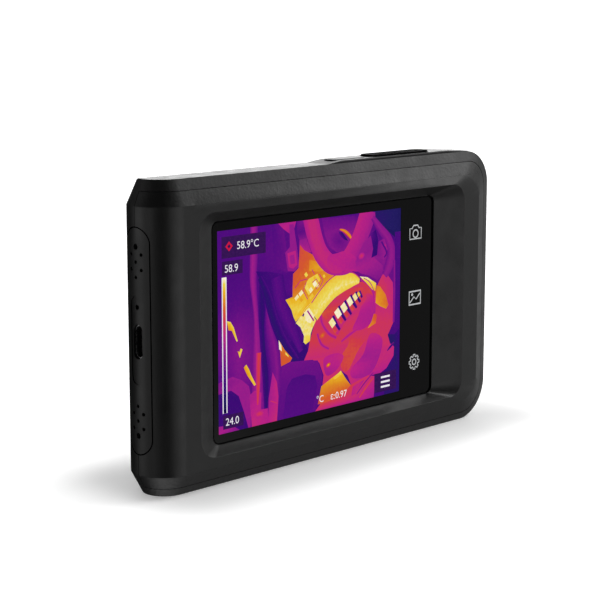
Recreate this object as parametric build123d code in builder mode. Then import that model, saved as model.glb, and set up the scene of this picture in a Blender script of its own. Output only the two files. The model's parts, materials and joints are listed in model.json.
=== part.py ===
from build123d import *
import math
import os

# A pocket thermal imaging camera, in millimetres, standing on its long lower edge.
# X runs along the case, the screen faces -Y, Z is up, and Z = 0 is the resting face.

# ---- Driving dimensions -------------------------------------------------------------
# Case
CASE_LENGTH = 138.0
CASE_HEIGHT = 84.2
FACE_Y = -12.15
BACK_Y = 9.35
BEVEL_DEPTH = 3.0
BEVEL_TOP = 6.9
BEVEL_BOTTOM = 5.9
BEVEL_RIGHT = 6.7
TILT_DROP = 0.8
BARREL_RADIUS = 9.15
BARREL_Y = -3.0
BARREL_TURN = 50.0
TOP_FLAT_END_Y = -0.4
TOP_SLOPE = 15.0

# Parting line between the two halves
PARTING_Y = -3.0
PARTING_TOP = 3.1
PARTING_BOTTOM = 2.4
PARTING_RIGHT = 2.9
SEAM = 0.15

# Hollow inside the case
WALL = 2.0
SIDE_WALL = 3.8
CAVITY_FRONT_Y = -9.2
CAVITY_BACK_Y = BACK_Y - WALL

# Screen recess, cover glass and display
LIP = (-54.9, 54.3, 8.8, 74.85)
FLOOR = (-47.0, 44.5, 10.6, 71.8)
GLASS = (-46.7, 43.5, 10.9, 71.5)
WINDOW = (-45.7, 42.3, 12.4, 70.0)
PANEL = (-45.4, 30.2, 12.7, 69.7)
BACKLIGHT = (-46.6, 32.5, 11.4, 71.0)
BRACKET = (-47.6, 33.6, 8.7, 73.8)
TUB_WALL = (-52.5, 51.3, 7.9, 75.3)
LEDGE = (-49.0, 46.5, 8.6, 73.8)
LIP_RADIUS = 5.5
GLASS_RADIUS = 2.0
FLOOR_Y = -8.1
GLASS_Y = -8.05
GLASS_THICKNESS = 1.1
ADHESIVE = 0.15
LEDGE_THICKNESS = 1.4
TUB_BACK_Y = -7.2
BACKLIGHT_THICKNESS = 1.8
BRACKET_THICKNESS = 0.4

# Side insert with the speakers, the microphone and the USB-C socket
INSERT_HEIGHT = 60.4
INSERT_WIDTH = 8.6
INSERT_Z = 41.8
INSERT_Y = -3.1
INSERT_GAP = 0.12
PLATE_HEIGHT = 23.6
PLATE_WIDTH = 5.2
PLATE_DEPTH = 0.25
SPEAKER_OFFSET = 21.1
SPEAKER_PITCH_Y = 1.9
SPEAKER_PITCH_Z = 2.0
SPEAKER_HOLE = 0.5
SPEAKER_HOLE_LARGE = 0.8
MICROPHONE_Z = 51.0
USB_HEIGHT = 8.94
USB_WIDTH = 3.26
USB_WALL = 0.3

# Buttons along the top
TRIM_LEFT = -3.0
TRIM_RIGHT = 61.0
TRIM_RAMP = 6.0
TRIM_TAIL = 11.0
TRIM_HEIGHT = 0.75
TRIM_FRONT_Y = -9.05
TRIM_BACK_Y = -0.5
BUTTON_Y = -4.75
CAPTURE_X = 30.0
CAPTURE_LENGTH = 27.0
CAPTURE_WIDTH = 6.0
CAPTURE_TOP = 85.5
CAPTURE_TRAVEL = 0.5
POWER_X = 8.1
POWER_LENGTH = 14.0
POWER_WIDTH = 5.0
POWER_TOP = 85.1
BUTTON_GAP = 0.25
WELL = (-0.5, 46.0, -8.6, -0.9)
WELL_FLOOR = 80.7
BUTTON_BOARD = 0.6
SWITCH_TOP = 82.3
SWITCH_BORE = 1.3
STEM_FOOT = 82.7
STEM_RADIUS = 1.0

# Lens side at the back
BEZEL = (14.5, 56.5, 46.5, 75.0)
BEZEL_Y = 12.15
BEZEL_SEAT_Y = 8.55
LENS_X = 43.5
LENS_Z = 60.5
LENS_BORE = 9.9
CAMERA_X = 22.5
CAMERA_Z = 66.5
LAMP_Z = 55.0
CORE_SIZE = 22.0
CORE_SCREW = 9.5
SHUTTER_ARM = 7.6
SHUTTER_ANGLE = 54.0
SHUTTER_RADIUS = 3.5
SHUTTER_APERTURE = 3.2

# Boards, battery and fixings
BOARD_FRONT_Y = -1.35
BOARD_THICKNESS = 1.0
BATTERY = (-49.5, 10.5, 13.0, 71.0)
BATTERY_FRONT_Y = 0.9
BATTERY_BACK_Y = 6.7
SCREW_PLACES = [(-58.0, 9.5), (-58.0, 74.0), (59.3, 11.0), (59.3, 73.0)]
BOARD_POSTS = [(-52.0, 14.0), (-52.0, 68.0), (12.2, 14.0), (12.2, 68.0)]
BRACKET_POSTS = [(-40.0, 10.0), (25.0, 10.0), (-40.0, 72.5), (25.0, 72.5)]
TRIPOD_Y = 2.4
TRIPOD_RADIUS = 2.55
TRIPOD_LENGTH = 6.5

# ---- Places worked out from them ----------------------------------------------------
HALF_LENGTH = CASE_LENGTH / 2
BARREL_X = -HALF_LENGTH + BARREL_RADIUS
LEFT_END = -56.0
RIGHT_START = 45.0
FACE_TOP = CASE_HEIGHT - BEVEL_TOP
FACE_RIGHT = HALF_LENGTH - BEVEL_RIGHT
GLASS_BACK_Y = GLASS_Y + GLASS_THICKNESS
LEDGE_FRONT_Y = GLASS_BACK_Y + ADHESIVE
LEDGE_BACK_Y = LEDGE_FRONT_Y + LEDGE_THICKNESS
BRACKET_FRONT_Y = LEDGE_BACK_Y + BACKLIGHT_THICKNESS
BRACKET_BACK_Y = BRACKET_FRONT_Y + BRACKET_THICKNESS
BOARD_BACK_Y = BOARD_FRONT_Y + BOARD_THICKNESS
INSIDE = (
    -HALF_LENGTH + SIDE_WALL,
    HALF_LENGTH - PARTING_RIGHT - WALL,
    PARTING_BOTTOM + WALL,
    CASE_HEIGHT - PARTING_TOP - WALL,
)
PIVOT_Z = LENS_Z - SHUTTER_ARM
CORE_CORNERS = [
    (LENS_X + sx * CORE_SCREW, LENS_Z + sz * CORE_SCREW) for sx in (-1, 1) for sz in (-1, 1)
]
SPEAKER_CENTRES = [INSERT_Z + SPEAKER_OFFSET, INSERT_Z - SPEAKER_OFFSET]

os.makedirs("parts", exist_ok=True)


# ---- Planes and shapes that repeat --------------------------------------------------
def screen_plane(y):
    """A plane parallel to the screen: X across, Z up, facing the user."""
    return Plane(origin=(0, y, 0), x_dir=(1, 0, 0), z_dir=(0, -1, 0))


def side_plane(x):
    """A plane across the case's left end: -Y across, Z up, facing left."""
    return Plane(origin=(x, 0, 0), x_dir=(0, -1, 0), z_dir=(-1, 0, 0))


def save(builder, name):
    """Label the finished piece and write it to its own file."""
    builder.part.label = name
    export_step(builder.part, f"parts/{name}.step")


def centre_of(box):
    """The middle of a (left, right, low, high) box."""
    left, right, low, high = box
    return ((left + right) / 2, (low + high) / 2)


def size_of(box):
    """The width and height of a (left, right, low, high) box."""
    left, right, low, high = box
    return (right - left, high - low)


def slab(box, front, back, radius=0.0):
    """A plate parallel to the screen, from its front to its back."""
    with BuildPart() as plate:
        with BuildSketch(screen_plane(back)):
            with Locations(centre_of(box)):
                if radius > 0:
                    RectangleRounded(*size_of(box), radius)
                else:
                    Rectangle(*size_of(box))
        extrude(amount=back - front)
    return plate.part


def rods(places, radius, front, back):
    """Round bars parallel to Y, from front to back, one at each place."""
    with BuildPart() as bars:
        with BuildSketch(screen_plane(back)):
            with Locations(*places):
                Circle(radius)
        extrude(amount=back - front)
    return bars.part


def side_slots(places, height, width, outer_x=-HALF_LENGTH - 1, inner_x=-60.5):
    """Upright slots cut through the left end, one at each (y, z) place."""
    with BuildPart() as slots:
        with BuildSketch(side_plane(inner_x)):
            with Locations(*[(-y, z) for y, z in places]):
                SlotOverall(height, width, rotation=90)
        extrude(amount=inner_x - outer_x)
    return slots.part


def side_holes(places, radius):
    """Round holes through the left end, one at each (y, z) place."""
    with BuildPart() as holes:
        with BuildSketch(side_plane(-60.5)):
            with Locations(*[(-y, z) for y, z in places]):
                Circle(radius)
        extrude(amount=HALF_LENGTH + 1 - 60.5)
    return holes.part


def barrel_layer(inner, outer):
    """A tall ring about the barrel's axis, between two radii."""
    with BuildPart() as ring:
        with BuildSketch():
            with Locations((BARREL_X, BARREL_Y)):
                Circle(outer)
                Circle(inner, mode=Mode.SUBTRACT)
        extrude(amount=CASE_HEIGHT)
    return ring.part


# ---- The case as one body, before it is split ---------------------------------------
def plan_section(z, inset, right=LEFT_END):
    """The case seen from above at one height, drawn in by the inset."""
    radius = BARREL_RADIUS - inset
    turn = math.radians(BARREL_TURN)
    front = FACE_Y + inset
    back = BACK_Y - inset
    end_x = BARREL_X - radius * math.cos(turn)
    end_y = BARREL_Y + radius * math.sin(turn)
    back_x = end_x + (back - end_y) * math.tan(turn)
    with BuildSketch(Plane.XY.offset(z)) as section:
        with BuildLine():
            Line((right, front), (BARREL_X, front))
            CenterArc((BARREL_X, BARREL_Y), radius, -90, -(90 + BARREL_TURN))
            Polyline((end_x, end_y), (back_x, back), (right, back), (right, front))
        make_face()
    return section.sketch.face()


def cross_section(x, drop):
    """The case cut across at one place along it; drop tilts the bars beside the screen."""
    low, high = LIP[2], LIP[3]
    with BuildSketch(Plane.YZ.offset(x)) as section:
        with BuildLine():
            Polyline(
                (FACE_Y, low),
                (FACE_Y, high),
                (FACE_Y + drop, FACE_TOP),
                (FACE_Y + BEVEL_DEPTH, CASE_HEIGHT),
                (BACK_Y - BEVEL_DEPTH, CASE_HEIGHT),
                (BACK_Y, FACE_TOP),
                (BACK_Y, BEVEL_BOTTOM),
                (BACK_Y - BEVEL_DEPTH, 0),
                (FACE_Y + BEVEL_DEPTH, 0),
                (FACE_Y + drop, BEVEL_BOTTOM),
                close=True,
            )
        make_face()
    return section.sketch.face()


def end_outline(y, left, right, low, high, low_radius, high_radius):
    """An outline parallel to the screen, square on its left and rounded on its right."""
    with BuildSketch(screen_plane(y)) as section:
        with BuildLine():
            Line((left, low), (right - low_radius, low))
            CenterArc((right - low_radius, low + low_radius), low_radius, -90, 90)
            Line((right, low + low_radius), (right, high - high_radius))
            CenterArc((right - high_radius, high - high_radius), high_radius, 0, 90)
            Polyline((right - high_radius, high), (left, high), (left, low))
        make_face()
    return section.sketch.face()


with BuildPart() as left_end:
    levels = [(0, BEVEL_DEPTH), (BEVEL_BOTTOM, 0), (FACE_TOP, 0), (CASE_HEIGHT, BEVEL_DEPTH)]
    for lower, upper in zip(levels, levels[1:]):
        loft([plan_section(*lower), plan_section(*upper)], ruled=True)

with BuildPart() as middle:
    loft([cross_section(LEFT_END, 0.03), cross_section(RIGHT_START, TILT_DROP)], ruled=True)

with BuildPart() as right_end:
    lip = (RIGHT_START, LIP[1], LIP[2], LIP[3], LIP_RADIUS, LIP_RADIUS)
    face = (RIGHT_START, FACE_RIGHT, BEVEL_BOTTOM, FACE_TOP, 8.0, 8.0)
    rim = (RIGHT_START, HALF_LENGTH, 0, CASE_HEIGHT, 12.0, 10.5)
    levels = [
        (FACE_Y, lip),
        (FACE_Y + TILT_DROP, face),
        (FACE_Y + BEVEL_DEPTH, rim),
        (BACK_Y - BEVEL_DEPTH, rim),
        (BACK_Y, face),
    ]
    for (near_y, near), (far_y, far) in zip(levels, levels[1:]):
        loft([end_outline(near_y, *near), end_outline(far_y, *far)], ruled=True)

with BuildPart() as case:
    add(left_end.part)
    add(middle.part)
    add(right_end.part)
    with BuildSketch(Plane.YZ.offset(-HALF_LENGTH - 1)):
        slope_fall = (20 - TOP_FLAT_END_Y) * math.tan(math.radians(TOP_SLOPE))
        with BuildLine():
            Polyline(
                (TOP_FLAT_END_Y, CASE_HEIGHT),
                (20, CASE_HEIGHT - slope_fall),
                (20, CASE_HEIGHT + 5),
                (TOP_FLAT_END_Y, CASE_HEIGHT + 5),
                close=True,
            )
        make_face()
    extrude(amount=CASE_LENGTH + 2, mode=Mode.SUBTRACT)

with BuildPart() as inside:
    floor = plan_section(INSIDE[2], WALL, right=HALF_LENGTH)
    extrude(floor, amount=INSIDE[3] - INSIDE[2], dir=(0, 0, 1))
    back = end_outline(CAVITY_BACK_Y, *INSIDE, 6.5, 5.5)
    depth = CAVITY_BACK_Y - CAVITY_FRONT_Y
    extrude(back, amount=depth, dir=(0, -1, 0), mode=Mode.INTERSECT)


def front_zone(growth):
    """The room that the front half takes, up to the parting line."""
    outline = end_outline(
        PARTING_Y + growth,
        -HALF_LENGTH - 5,
        HALF_LENGTH - PARTING_RIGHT + growth,
        PARTING_BOTTOM - growth,
        CASE_HEIGHT - PARTING_TOP + growth,
        9.1,
        7.6,
    )
    with BuildPart() as zone:
        extrude(outline, amount=30, dir=(0, -1, 0))
    return zone.part


# ---- Cuts shared by the two halves --------------------------------------------------
with BuildPart() as side_pocket:
    add(side_slots([(INSERT_Y, INSERT_Z)], INSERT_HEIGHT, INSERT_WIDTH))
    add(barrel_layer(7.6, 12.0), mode=Mode.INTERSECT)

with BuildPart() as side_ports:
    add(side_slots([(INSERT_Y, z) for z in SPEAKER_CENTRES], 11.0, 6.4))
    add(side_slots([(INSERT_Y, INSERT_Z)], USB_HEIGHT + 0.6, USB_WIDTH + 0.6))
    add(side_holes([(INSERT_Y, MICROPHONE_Z)], 1.2))

with BuildPart() as button_well:
    with BuildSketch(Plane.XY.offset(WELL_FLOOR)):
        with Locations(centre_of(WELL)):
            Rectangle(*size_of(WELL))
    extrude(amount=6)

# ---- Front housing ------------------------------------------------------------------
with BuildPart() as front_cavity:
    add(inside.part)
    add(slab(TUB_WALL, CAVITY_FRONT_Y - 1, TUB_BACK_Y), mode=Mode.SUBTRACT)
    add(slab(LEDGE, CAVITY_FRONT_Y - 1, LEDGE_BACK_Y), mode=Mode.SUBTRACT)

with BuildPart() as recess:
    with BuildSketch(screen_plane(FACE_Y)) as lip_outline:
        with Locations(centre_of(LIP)):
            RectangleRounded(*size_of(LIP), LIP_RADIUS)
    with BuildSketch(screen_plane(FLOOR_Y)) as floor_outline:
        with Locations(centre_of(FLOOR)):
            RectangleRounded(*size_of(FLOOR), GLASS_RADIUS + 0.3)
    loft(ruled=True)

with BuildPart() as front_housing:
    add(case.part)
    add(front_zone(0), mode=Mode.INTERSECT)
    add(front_cavity.part, mode=Mode.SUBTRACT)
    add(recess.part, mode=Mode.SUBTRACT)
    add(slab(FLOOR, FLOOR_Y - 0.05, LEDGE_FRONT_Y, GLASS_RADIUS + 0.3), mode=Mode.SUBTRACT)
    add(slab(WINDOW, FLOOR_Y, LEDGE_BACK_Y + 1), mode=Mode.SUBTRACT)
    add(rods(SCREW_PLACES, 2.6, CAVITY_FRONT_Y - 0.2, PARTING_Y - 0.2))
    add(rods(SCREW_PLACES, 1.0, PARTING_Y - 5.5, PARTING_Y), mode=Mode.SUBTRACT)
    add(rods(BRACKET_POSTS, 1.25, LEDGE_BACK_Y, BRACKET_FRONT_Y))
    add(rods(BRACKET_POSTS, 0.6, LEDGE_BACK_Y, BRACKET_FRONT_Y), mode=Mode.SUBTRACT)
    add(side_pocket.part, mode=Mode.SUBTRACT)
    add(side_ports.part, mode=Mode.SUBTRACT)
    add(button_well.part, mode=Mode.SUBTRACT)
save(front_housing, "front_housing")


# ---- Seal between the halves --------------------------------------------------------
def seal_ring(growth, depth):
    """The seal's path round the parting face, open where the side insert is."""
    with BuildPart() as ring:
        with BuildSketch(screen_plane(PARTING_Y + depth)):
            with Locations((-0.6, 41.7)):
                RectangleRounded(132.0 + growth, 77.2 + growth, 8.0)
                RectangleRounded(130.4 - growth, 75.6 - growth, 7.2, mode=Mode.SUBTRACT)
            with Locations((-HALF_LENGTH, INSERT_Z)):
                Rectangle(12.0, 66.0 - growth, mode=Mode.SUBTRACT)
        extrude(amount=depth)
    return ring.part


with BuildPart() as housing_seal:
    add(seal_ring(0, 0.65))
save(housing_seal, "housing_seal")

# ---- Rear housing -------------------------------------------------------------------
with BuildPart() as rear_housing:
    add(case.part)
    add(front_zone(SEAM), mode=Mode.SUBTRACT)
    add(inside.part, mode=Mode.SUBTRACT)
    add(seal_ring(0.1, 0.7), mode=Mode.SUBTRACT)
    add(rods(SCREW_PLACES, 2.8, PARTING_Y + SEAM, CAVITY_BACK_Y))
    add(rods(SCREW_PLACES, 1.1, PARTING_Y, BACK_Y), mode=Mode.SUBTRACT)
    add(rods(SCREW_PLACES, 2.2, CAVITY_BACK_Y, BACK_Y), mode=Mode.SUBTRACT)
    add(rods(BOARD_POSTS, 1.6, BOARD_BACK_Y, CAVITY_BACK_Y))
    add(rods(BOARD_POSTS, 0.7, BOARD_BACK_Y, BOARD_BACK_Y + 5), mode=Mode.SUBTRACT)
    add(rods(CORE_CORNERS, 1.8, 4.6, CAVITY_BACK_Y))
    add(rods(CORE_CORNERS, 0.8, 4.6, CAVITY_BACK_Y - 0.5), mode=Mode.SUBTRACT)
    add(rods([(CAMERA_X, 60.6), (CAMERA_X, 50.4)], 1.3, 3.2, CAVITY_BACK_Y))
    add(slab(BEZEL, BEZEL_SEAT_Y, BACK_Y + 1, 6.0), mode=Mode.SUBTRACT)
    add(rods([(LENS_X, LENS_Z)], LENS_BORE, 5, BACK_Y), mode=Mode.SUBTRACT)
    add(rods([(CAMERA_X, CAMERA_Z)], 3.2, 5, BACK_Y), mode=Mode.SUBTRACT)
    add(rods([(CAMERA_X, LAMP_Z)], 2.7, 5, BACK_Y), mode=Mode.SUBTRACT)
    add(slab((-46.0, -8.0, 24.0, 46.0), BACK_Y - 0.2, BACK_Y + 1, 1.5), mode=Mode.SUBTRACT)
    with BuildSketch(Plane.XY.offset(1)):
        with Locations((0, TRIPOD_Y)):
            Circle(4.7)
    extrude(amount=7.4)
    with BuildSketch():
        with Locations((0, TRIPOD_Y)):
            Circle(3.75)
    extrude(amount=8.0, mode=Mode.SUBTRACT)
    add(side_pocket.part, mode=Mode.SUBTRACT)
    add(side_ports.part, mode=Mode.SUBTRACT)
    add(button_well.part, mode=Mode.SUBTRACT)
    with BuildSketch(Plane.XY.offset(INSIDE[3] - 1)):
        with Locations((6.0, -1.85)):
            Rectangle(4.0, 0.8)
    extrude(amount=3, mode=Mode.SUBTRACT)
save(rear_housing, "rear_housing")

with BuildPart() as rating_label:
    add(slab((-45.7, -8.3, 24.3, 45.7), BACK_Y - 0.2, BACK_Y - 0.05, 1.2))
save(rating_label, "rating_label")

with BuildPart() as tripod_insert:
    with BuildSketch(Plane.XY.offset(0.4)):
        with Locations((0, TRIPOD_Y)):
            Circle(3.75)
            Circle(TRIPOD_RADIUS, mode=Mode.SUBTRACT)
    extrude(amount=TRIPOD_LENGTH)
save(tripod_insert, "tripod_insert")


# ---- Screws -------------------------------------------------------------------------
def screws(places, head_radius, head_height, shank_radius, under_head, tip, towards_user):
    """Screws parallel to Y with a cross recess; the head is at the back or at the front."""
    if towards_user:
        head_front, head_back = under_head - head_height, under_head
        shank_front, shank_back = under_head, tip
        socket_front, socket_back = head_front, head_front + head_height * 0.6
    else:
        head_front, head_back = under_head, under_head + head_height
        shank_front, shank_back = tip, under_head
        socket_front, socket_back = head_back - head_height * 0.6, head_back
    with BuildPart() as group:
        add(rods(places, head_radius, head_front, head_back))
        add(rods(places, shank_radius, shank_front, shank_back))
        with BuildSketch(screen_plane(socket_back)):
            with Locations(*places):
                Rectangle(head_radius * 1.2, head_radius * 0.3)
                Rectangle(head_radius * 0.3, head_radius * 1.2)
        extrude(amount=socket_back - socket_front, mode=Mode.SUBTRACT)
    return group


housing_screws = screws(SCREW_PLACES, 1.95, 1.5, 1.0, CAVITY_BACK_Y, PARTING_Y - 5.0, False)
save(housing_screws, "housing_screws")

board_screws = screws(BOARD_POSTS, 1.3, 0.8, 0.7, BOARD_FRONT_Y, BOARD_BACK_Y + 4.5, True)
save(board_screws, "board_screws")

bracket_screws = screws(BRACKET_POSTS, 1.1, 0.6, 0.6, BRACKET_BACK_Y, LEDGE_BACK_Y + 0.1, False)
save(bracket_screws, "bracket_screws")

# ---- Cover glass and display --------------------------------------------------------
with BuildPart() as cover_glass:
    add(slab(GLASS, GLASS_Y, GLASS_BACK_Y, GLASS_RADIUS))
    chamfer(cover_glass.faces().sort_by(Axis.Y)[0].edges(), 0.12)
save(cover_glass, "cover_glass")

with BuildPart() as glass_adhesive:
    add(slab((GLASS[0] + 0.1, GLASS[1] - 0.1, GLASS[2] + 0.1, GLASS[3] - 0.1),
             GLASS_BACK_Y, LEDGE_FRONT_Y, GLASS_RADIUS))
    add(slab(WINDOW, GLASS_BACK_Y, LEDGE_FRONT_Y), mode=Mode.SUBTRACT)
save(glass_adhesive, "glass_adhesive")

with BuildPart() as lcd_panel:
    add(slab(PANEL, GLASS_BACK_Y, LEDGE_BACK_Y))
save(lcd_panel, "lcd_panel")

with BuildPart() as display_backlight:
    add(slab(BACKLIGHT, LEDGE_BACK_Y, BRACKET_FRONT_Y, 0.8))
    with BuildSketch(screen_plane(BRACKET_FRONT_Y)):
        with Locations((-7.0, 41.0)):
            RectangleRounded(70.0, 50.0, 2.0)
    extrude(amount=0.25, mode=Mode.SUBTRACT)
save(display_backlight, "display_backlight")

with BuildPart() as display_bracket:
    add(slab(BRACKET, BRACKET_FRONT_Y, BRACKET_BACK_Y, 1.0))
    with BuildSketch(screen_plane(BRACKET_BACK_Y)):
        with Locations((-38.0, 55.0), (24.0, 55.0), (24.0, 26.0)):
            RectangleRounded(13.0, 18.0, 2.0)
        with Locations(*BRACKET_POSTS):
            Circle(0.7)
    extrude(amount=BRACKET_THICKNESS, mode=Mode.SUBTRACT)
save(display_bracket, "display_bracket")

with BuildPart() as display_flex:
    with BuildSketch(Plane.YZ.offset(-9.0)):
        with BuildLine():
            Polyline((-4.6, 11.4), (-4.6, 7.4), (-2.75, 7.4), (-2.75, 16.9))
        trace(line_width=0.2)
    extrude(amount=18.0)
save(display_flex, "display_flex")

# ---- Main board ---------------------------------------------------------------------
with BuildPart() as main_board:
    add(slab((-54.0, 55.0, 9.6, 75.5), BOARD_FRONT_Y, BOARD_BACK_Y, 1.0))
    add(slab((-64.3, -53.0, 30.0, 54.0), BOARD_FRONT_Y, BOARD_BACK_Y, 0.8))
    add(slab((14.2, 60.0, 44.0, 80.0), BOARD_FRONT_Y, BOARD_BACK_Y), mode=Mode.SUBTRACT)
    add(rods(BOARD_POSTS, 0.85, BOARD_FRONT_Y, BOARD_BACK_Y), mode=Mode.SUBTRACT)
save(main_board, "main_board")


def shield_can(box, height):
    """A drawn steel lid on the front of the board, open towards the board."""
    with BuildPart() as can:
        add(slab(box, BOARD_FRONT_Y - height, BOARD_FRONT_Y, 0.8))
        left, right, low, high = box
        hollow = (left + 0.2, right - 0.2, low + 0.2, high - 0.2)
        add(slab(hollow, BOARD_FRONT_Y - height + 0.2, BOARD_FRONT_Y, 0.6), mode=Mode.SUBTRACT)
    return can


PROCESSOR_CAN = (-32.0, -6.0, 34.0, 60.0)
POWER_CAN = (20.0, 44.0, 16.0, 36.0)
CAN_HEIGHT = 1.5
processor_shield = shield_can(PROCESSOR_CAN, CAN_HEIGHT)
save(processor_shield, "processor_shield")
power_shield = shield_can(POWER_CAN, CAN_HEIGHT)
save(power_shield, "power_shield")

with BuildPart() as thermal_pad:
    add(slab((-28.0, -10.0, 38.0, 56.0), BRACKET_BACK_Y, BOARD_FRONT_Y - CAN_HEIGHT))
save(thermal_pad, "thermal_pad")


def chips(boxes, height):
    """Flat chip packages on the front of the board."""
    with BuildPart() as group:
        for box in boxes:
            add(slab(box, BOARD_FRONT_Y - height, BOARD_FRONT_Y))
    return group


processor = chips([(-29.0, -17.0, 41.0, 53.0)], 1.0)
save(processor, "processor")
MEMORY_CHIPS = [(-15.5, -8.5, 48.0, 58.0), (-15.5, -8.5, 36.0, 46.0), (-46.0, -36.0, 26.0, 34.0)]
POWER_CHIP = (28.0, 35.0, 22.0, 29.0)
support_chips = chips(MEMORY_CHIPS + [POWER_CHIP], 0.9)
save(support_chips, "support_chips")

with BuildPart() as display_connector:
    add(slab((-9.5, 9.5, 13.5, 16.9), -2.65, BOARD_FRONT_Y))
save(display_connector, "display_connector")

with BuildPart() as flex_connectors:
    add(slab((3.5, 8.5, 64.0, 68.0), -2.35, BOARD_FRONT_Y))
    add(slab((37.0, 50.0, 38.5, 41.5), -2.35, BOARD_FRONT_Y))
save(flex_connectors, "flex_connectors")

with BuildPart() as button_flex:
    add(slab((4.5, 7.5, 68.0, WELL_FLOOR), -2.0, -1.85))
save(button_flex, "button_flex")

with BuildPart() as thermal_flex:
    add(slab((38.0, 49.0, 41.5, LENS_Z - CORE_SIZE / 2), -1.95, -1.75))
save(thermal_flex, "thermal_flex")

# ---- Battery ------------------------------------------------------------------------
with BuildPart() as battery_pack:
    add(slab(BATTERY, BATTERY_FRONT_Y, BATTERY_BACK_Y, 1.5))
    fillet(battery_pack.edges().filter_by(GeomType.LINE).group_by(Axis.Y)[0], 1.0)
save(battery_pack, "battery_pack")

with BuildPart() as battery_pad:
    add(slab((-46.0, 7.0, 16.0, 68.0), BATTERY_BACK_Y, CAVITY_BACK_Y, 1.0))
save(battery_pad, "battery_pad")

with BuildPart() as battery_connector:
    add(slab((-20.0, -12.0, 9.8, 12.7), BOARD_BACK_Y, 1.9))
save(battery_connector, "battery_connector")

# ---- Left end: insert, speakers, microphone and USB-C -------------------------------
speaker_holes = [(INSERT_Y + dy, z + dz)
                 for z in SPEAKER_CENTRES
                 for dy, dz in [(0, 0), (0, 2 * SPEAKER_PITCH_Z), (0, -2 * SPEAKER_PITCH_Z)]
                 + [(sy * SPEAKER_PITCH_Y, sz * SPEAKER_PITCH_Z) for sy in (-1, 1) for sz in (-1, 1)]]
outer_holes = [(INSERT_Y, INSERT_Z + side * (SPEAKER_OFFSET + 2 * SPEAKER_PITCH_Z)) for side in (-1, 1)]

with BuildPart() as side_insert:
    add(side_slots([(INSERT_Y, INSERT_Z)],
                   INSERT_HEIGHT - 2 * INSERT_GAP, INSERT_WIDTH - 2 * INSERT_GAP))
    add(barrel_layer(8.05, BARREL_RADIUS - 0.03), mode=Mode.INTERSECT)
    with BuildPart(mode=Mode.PRIVATE) as plate_recess:
        add(side_slots([(INSERT_Y, INSERT_Z + 0.4)], PLATE_HEIGHT, PLATE_WIDTH))
        add(barrel_layer(BARREL_RADIUS - 0.03 - PLATE_DEPTH, 12.0), mode=Mode.INTERSECT)
    add(plate_recess.part, mode=Mode.SUBTRACT)
    add(side_holes(speaker_holes, SPEAKER_HOLE), mode=Mode.SUBTRACT)
    add(side_holes(outer_holes, SPEAKER_HOLE_LARGE), mode=Mode.SUBTRACT)
    add(side_holes([(INSERT_Y, MICROPHONE_Z)], 0.7), mode=Mode.SUBTRACT)
    add(side_slots([(INSERT_Y, INSERT_Z)], USB_HEIGHT + 0.3, USB_WIDTH + 0.3), mode=Mode.SUBTRACT)
save(side_insert, "side_insert")

with BuildPart() as side_gasket:
    add(side_slots([(INSERT_Y, INSERT_Z)], INSERT_HEIGHT - 0.8, INSERT_WIDTH - 0.8))
    add(barrel_layer(7.62, 8.03), mode=Mode.INTERSECT)
    add(side_ports.part, mode=Mode.SUBTRACT)
save(side_gasket, "side_gasket")

with BuildPart() as speaker_meshes:
    add(side_slots([(INSERT_Y, z) for z in SPEAKER_CENTRES], 10.6, 6.0))
    add(barrel_layer(7.85, 8.0), mode=Mode.INTERSECT)
save(speaker_meshes, "speaker_meshes")


with BuildPart() as speakers:
    with Locations(*[(-63.15, INSERT_Y, z) for z in SPEAKER_CENTRES]):
        Box(3.3, 8.4, 14.4)
    with BuildSketch(side_plane(-64.0)):
        with Locations(*[(-INSERT_Y, z) for z in SPEAKER_CENTRES]):
            SlotOverall(12.4, 6.6, rotation=90)
    extrude(amount=1.0, mode=Mode.SUBTRACT)
    with BuildSketch(side_plane(-64.0)):
        with Locations(*[(-INSERT_Y, z) for z in SPEAKER_CENTRES]):
            SlotOverall(8.0, 3.4, rotation=90)
    extrude(amount=0.5)
save(speakers, "speakers")

with BuildPart() as microphone:
    add(slab((-63.6, -60.4, MICROPHONE_Z - 1.6, MICROPHONE_Z + 1.6), -2.6, BOARD_FRONT_Y))
save(microphone, "microphone")

with BuildPart() as usb_shell:
    add(side_slots([(INSERT_Y, INSERT_Z)], USB_HEIGHT, USB_WIDTH, -68.0, -60.6))
    add(side_slots([(INSERT_Y, INSERT_Z)], USB_HEIGHT - 2 * USB_WALL, USB_WIDTH - 2 * USB_WALL,
                   -69.0, -61.4), mode=Mode.SUBTRACT)
save(usb_shell, "usb_shell")

with BuildPart() as usb_tongue:
    with Locations((-64.2, INSERT_Y, INSERT_Z)):
        Box(5.6, 0.7, 6.7)
save(usb_tongue, "usb_tongue")

# ---- Buttons ------------------------------------------------------------------------
with BuildPart() as button_trim:
    with BuildSketch(Plane.XZ.offset(-TRIM_BACK_Y)):
        with BuildLine():
            Polyline(
                (TRIM_LEFT, CASE_HEIGHT),
                (TRIM_RIGHT, CASE_HEIGHT),
                (TRIM_RIGHT - TRIM_TAIL, CASE_HEIGHT + TRIM_HEIGHT),
                (TRIM_LEFT + TRIM_RAMP, CASE_HEIGHT + TRIM_HEIGHT),
                close=True,
            )
        make_face()
    extrude(amount=TRIM_BACK_Y - TRIM_FRONT_Y)
    top_edges = button_trim.faces().sort_by(Axis.Z)[-1].edges().filter_by(Axis.X)
    chamfer(top_edges, 0.3)
    with BuildSketch(Plane.XY.offset(CASE_HEIGHT)):
        with Locations((CAPTURE_X, BUTTON_Y)):
            SlotOverall(CAPTURE_LENGTH + 2 * BUTTON_GAP, CAPTURE_WIDTH + 2 * BUTTON_GAP)
        with Locations((POWER_X, BUTTON_Y)):
            SlotOverall(POWER_LENGTH + 2 * BUTTON_GAP, POWER_WIDTH + 2 * BUTTON_GAP)
    extrude(amount=3, mode=Mode.SUBTRACT)
save(button_trim, "button_trim")


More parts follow.
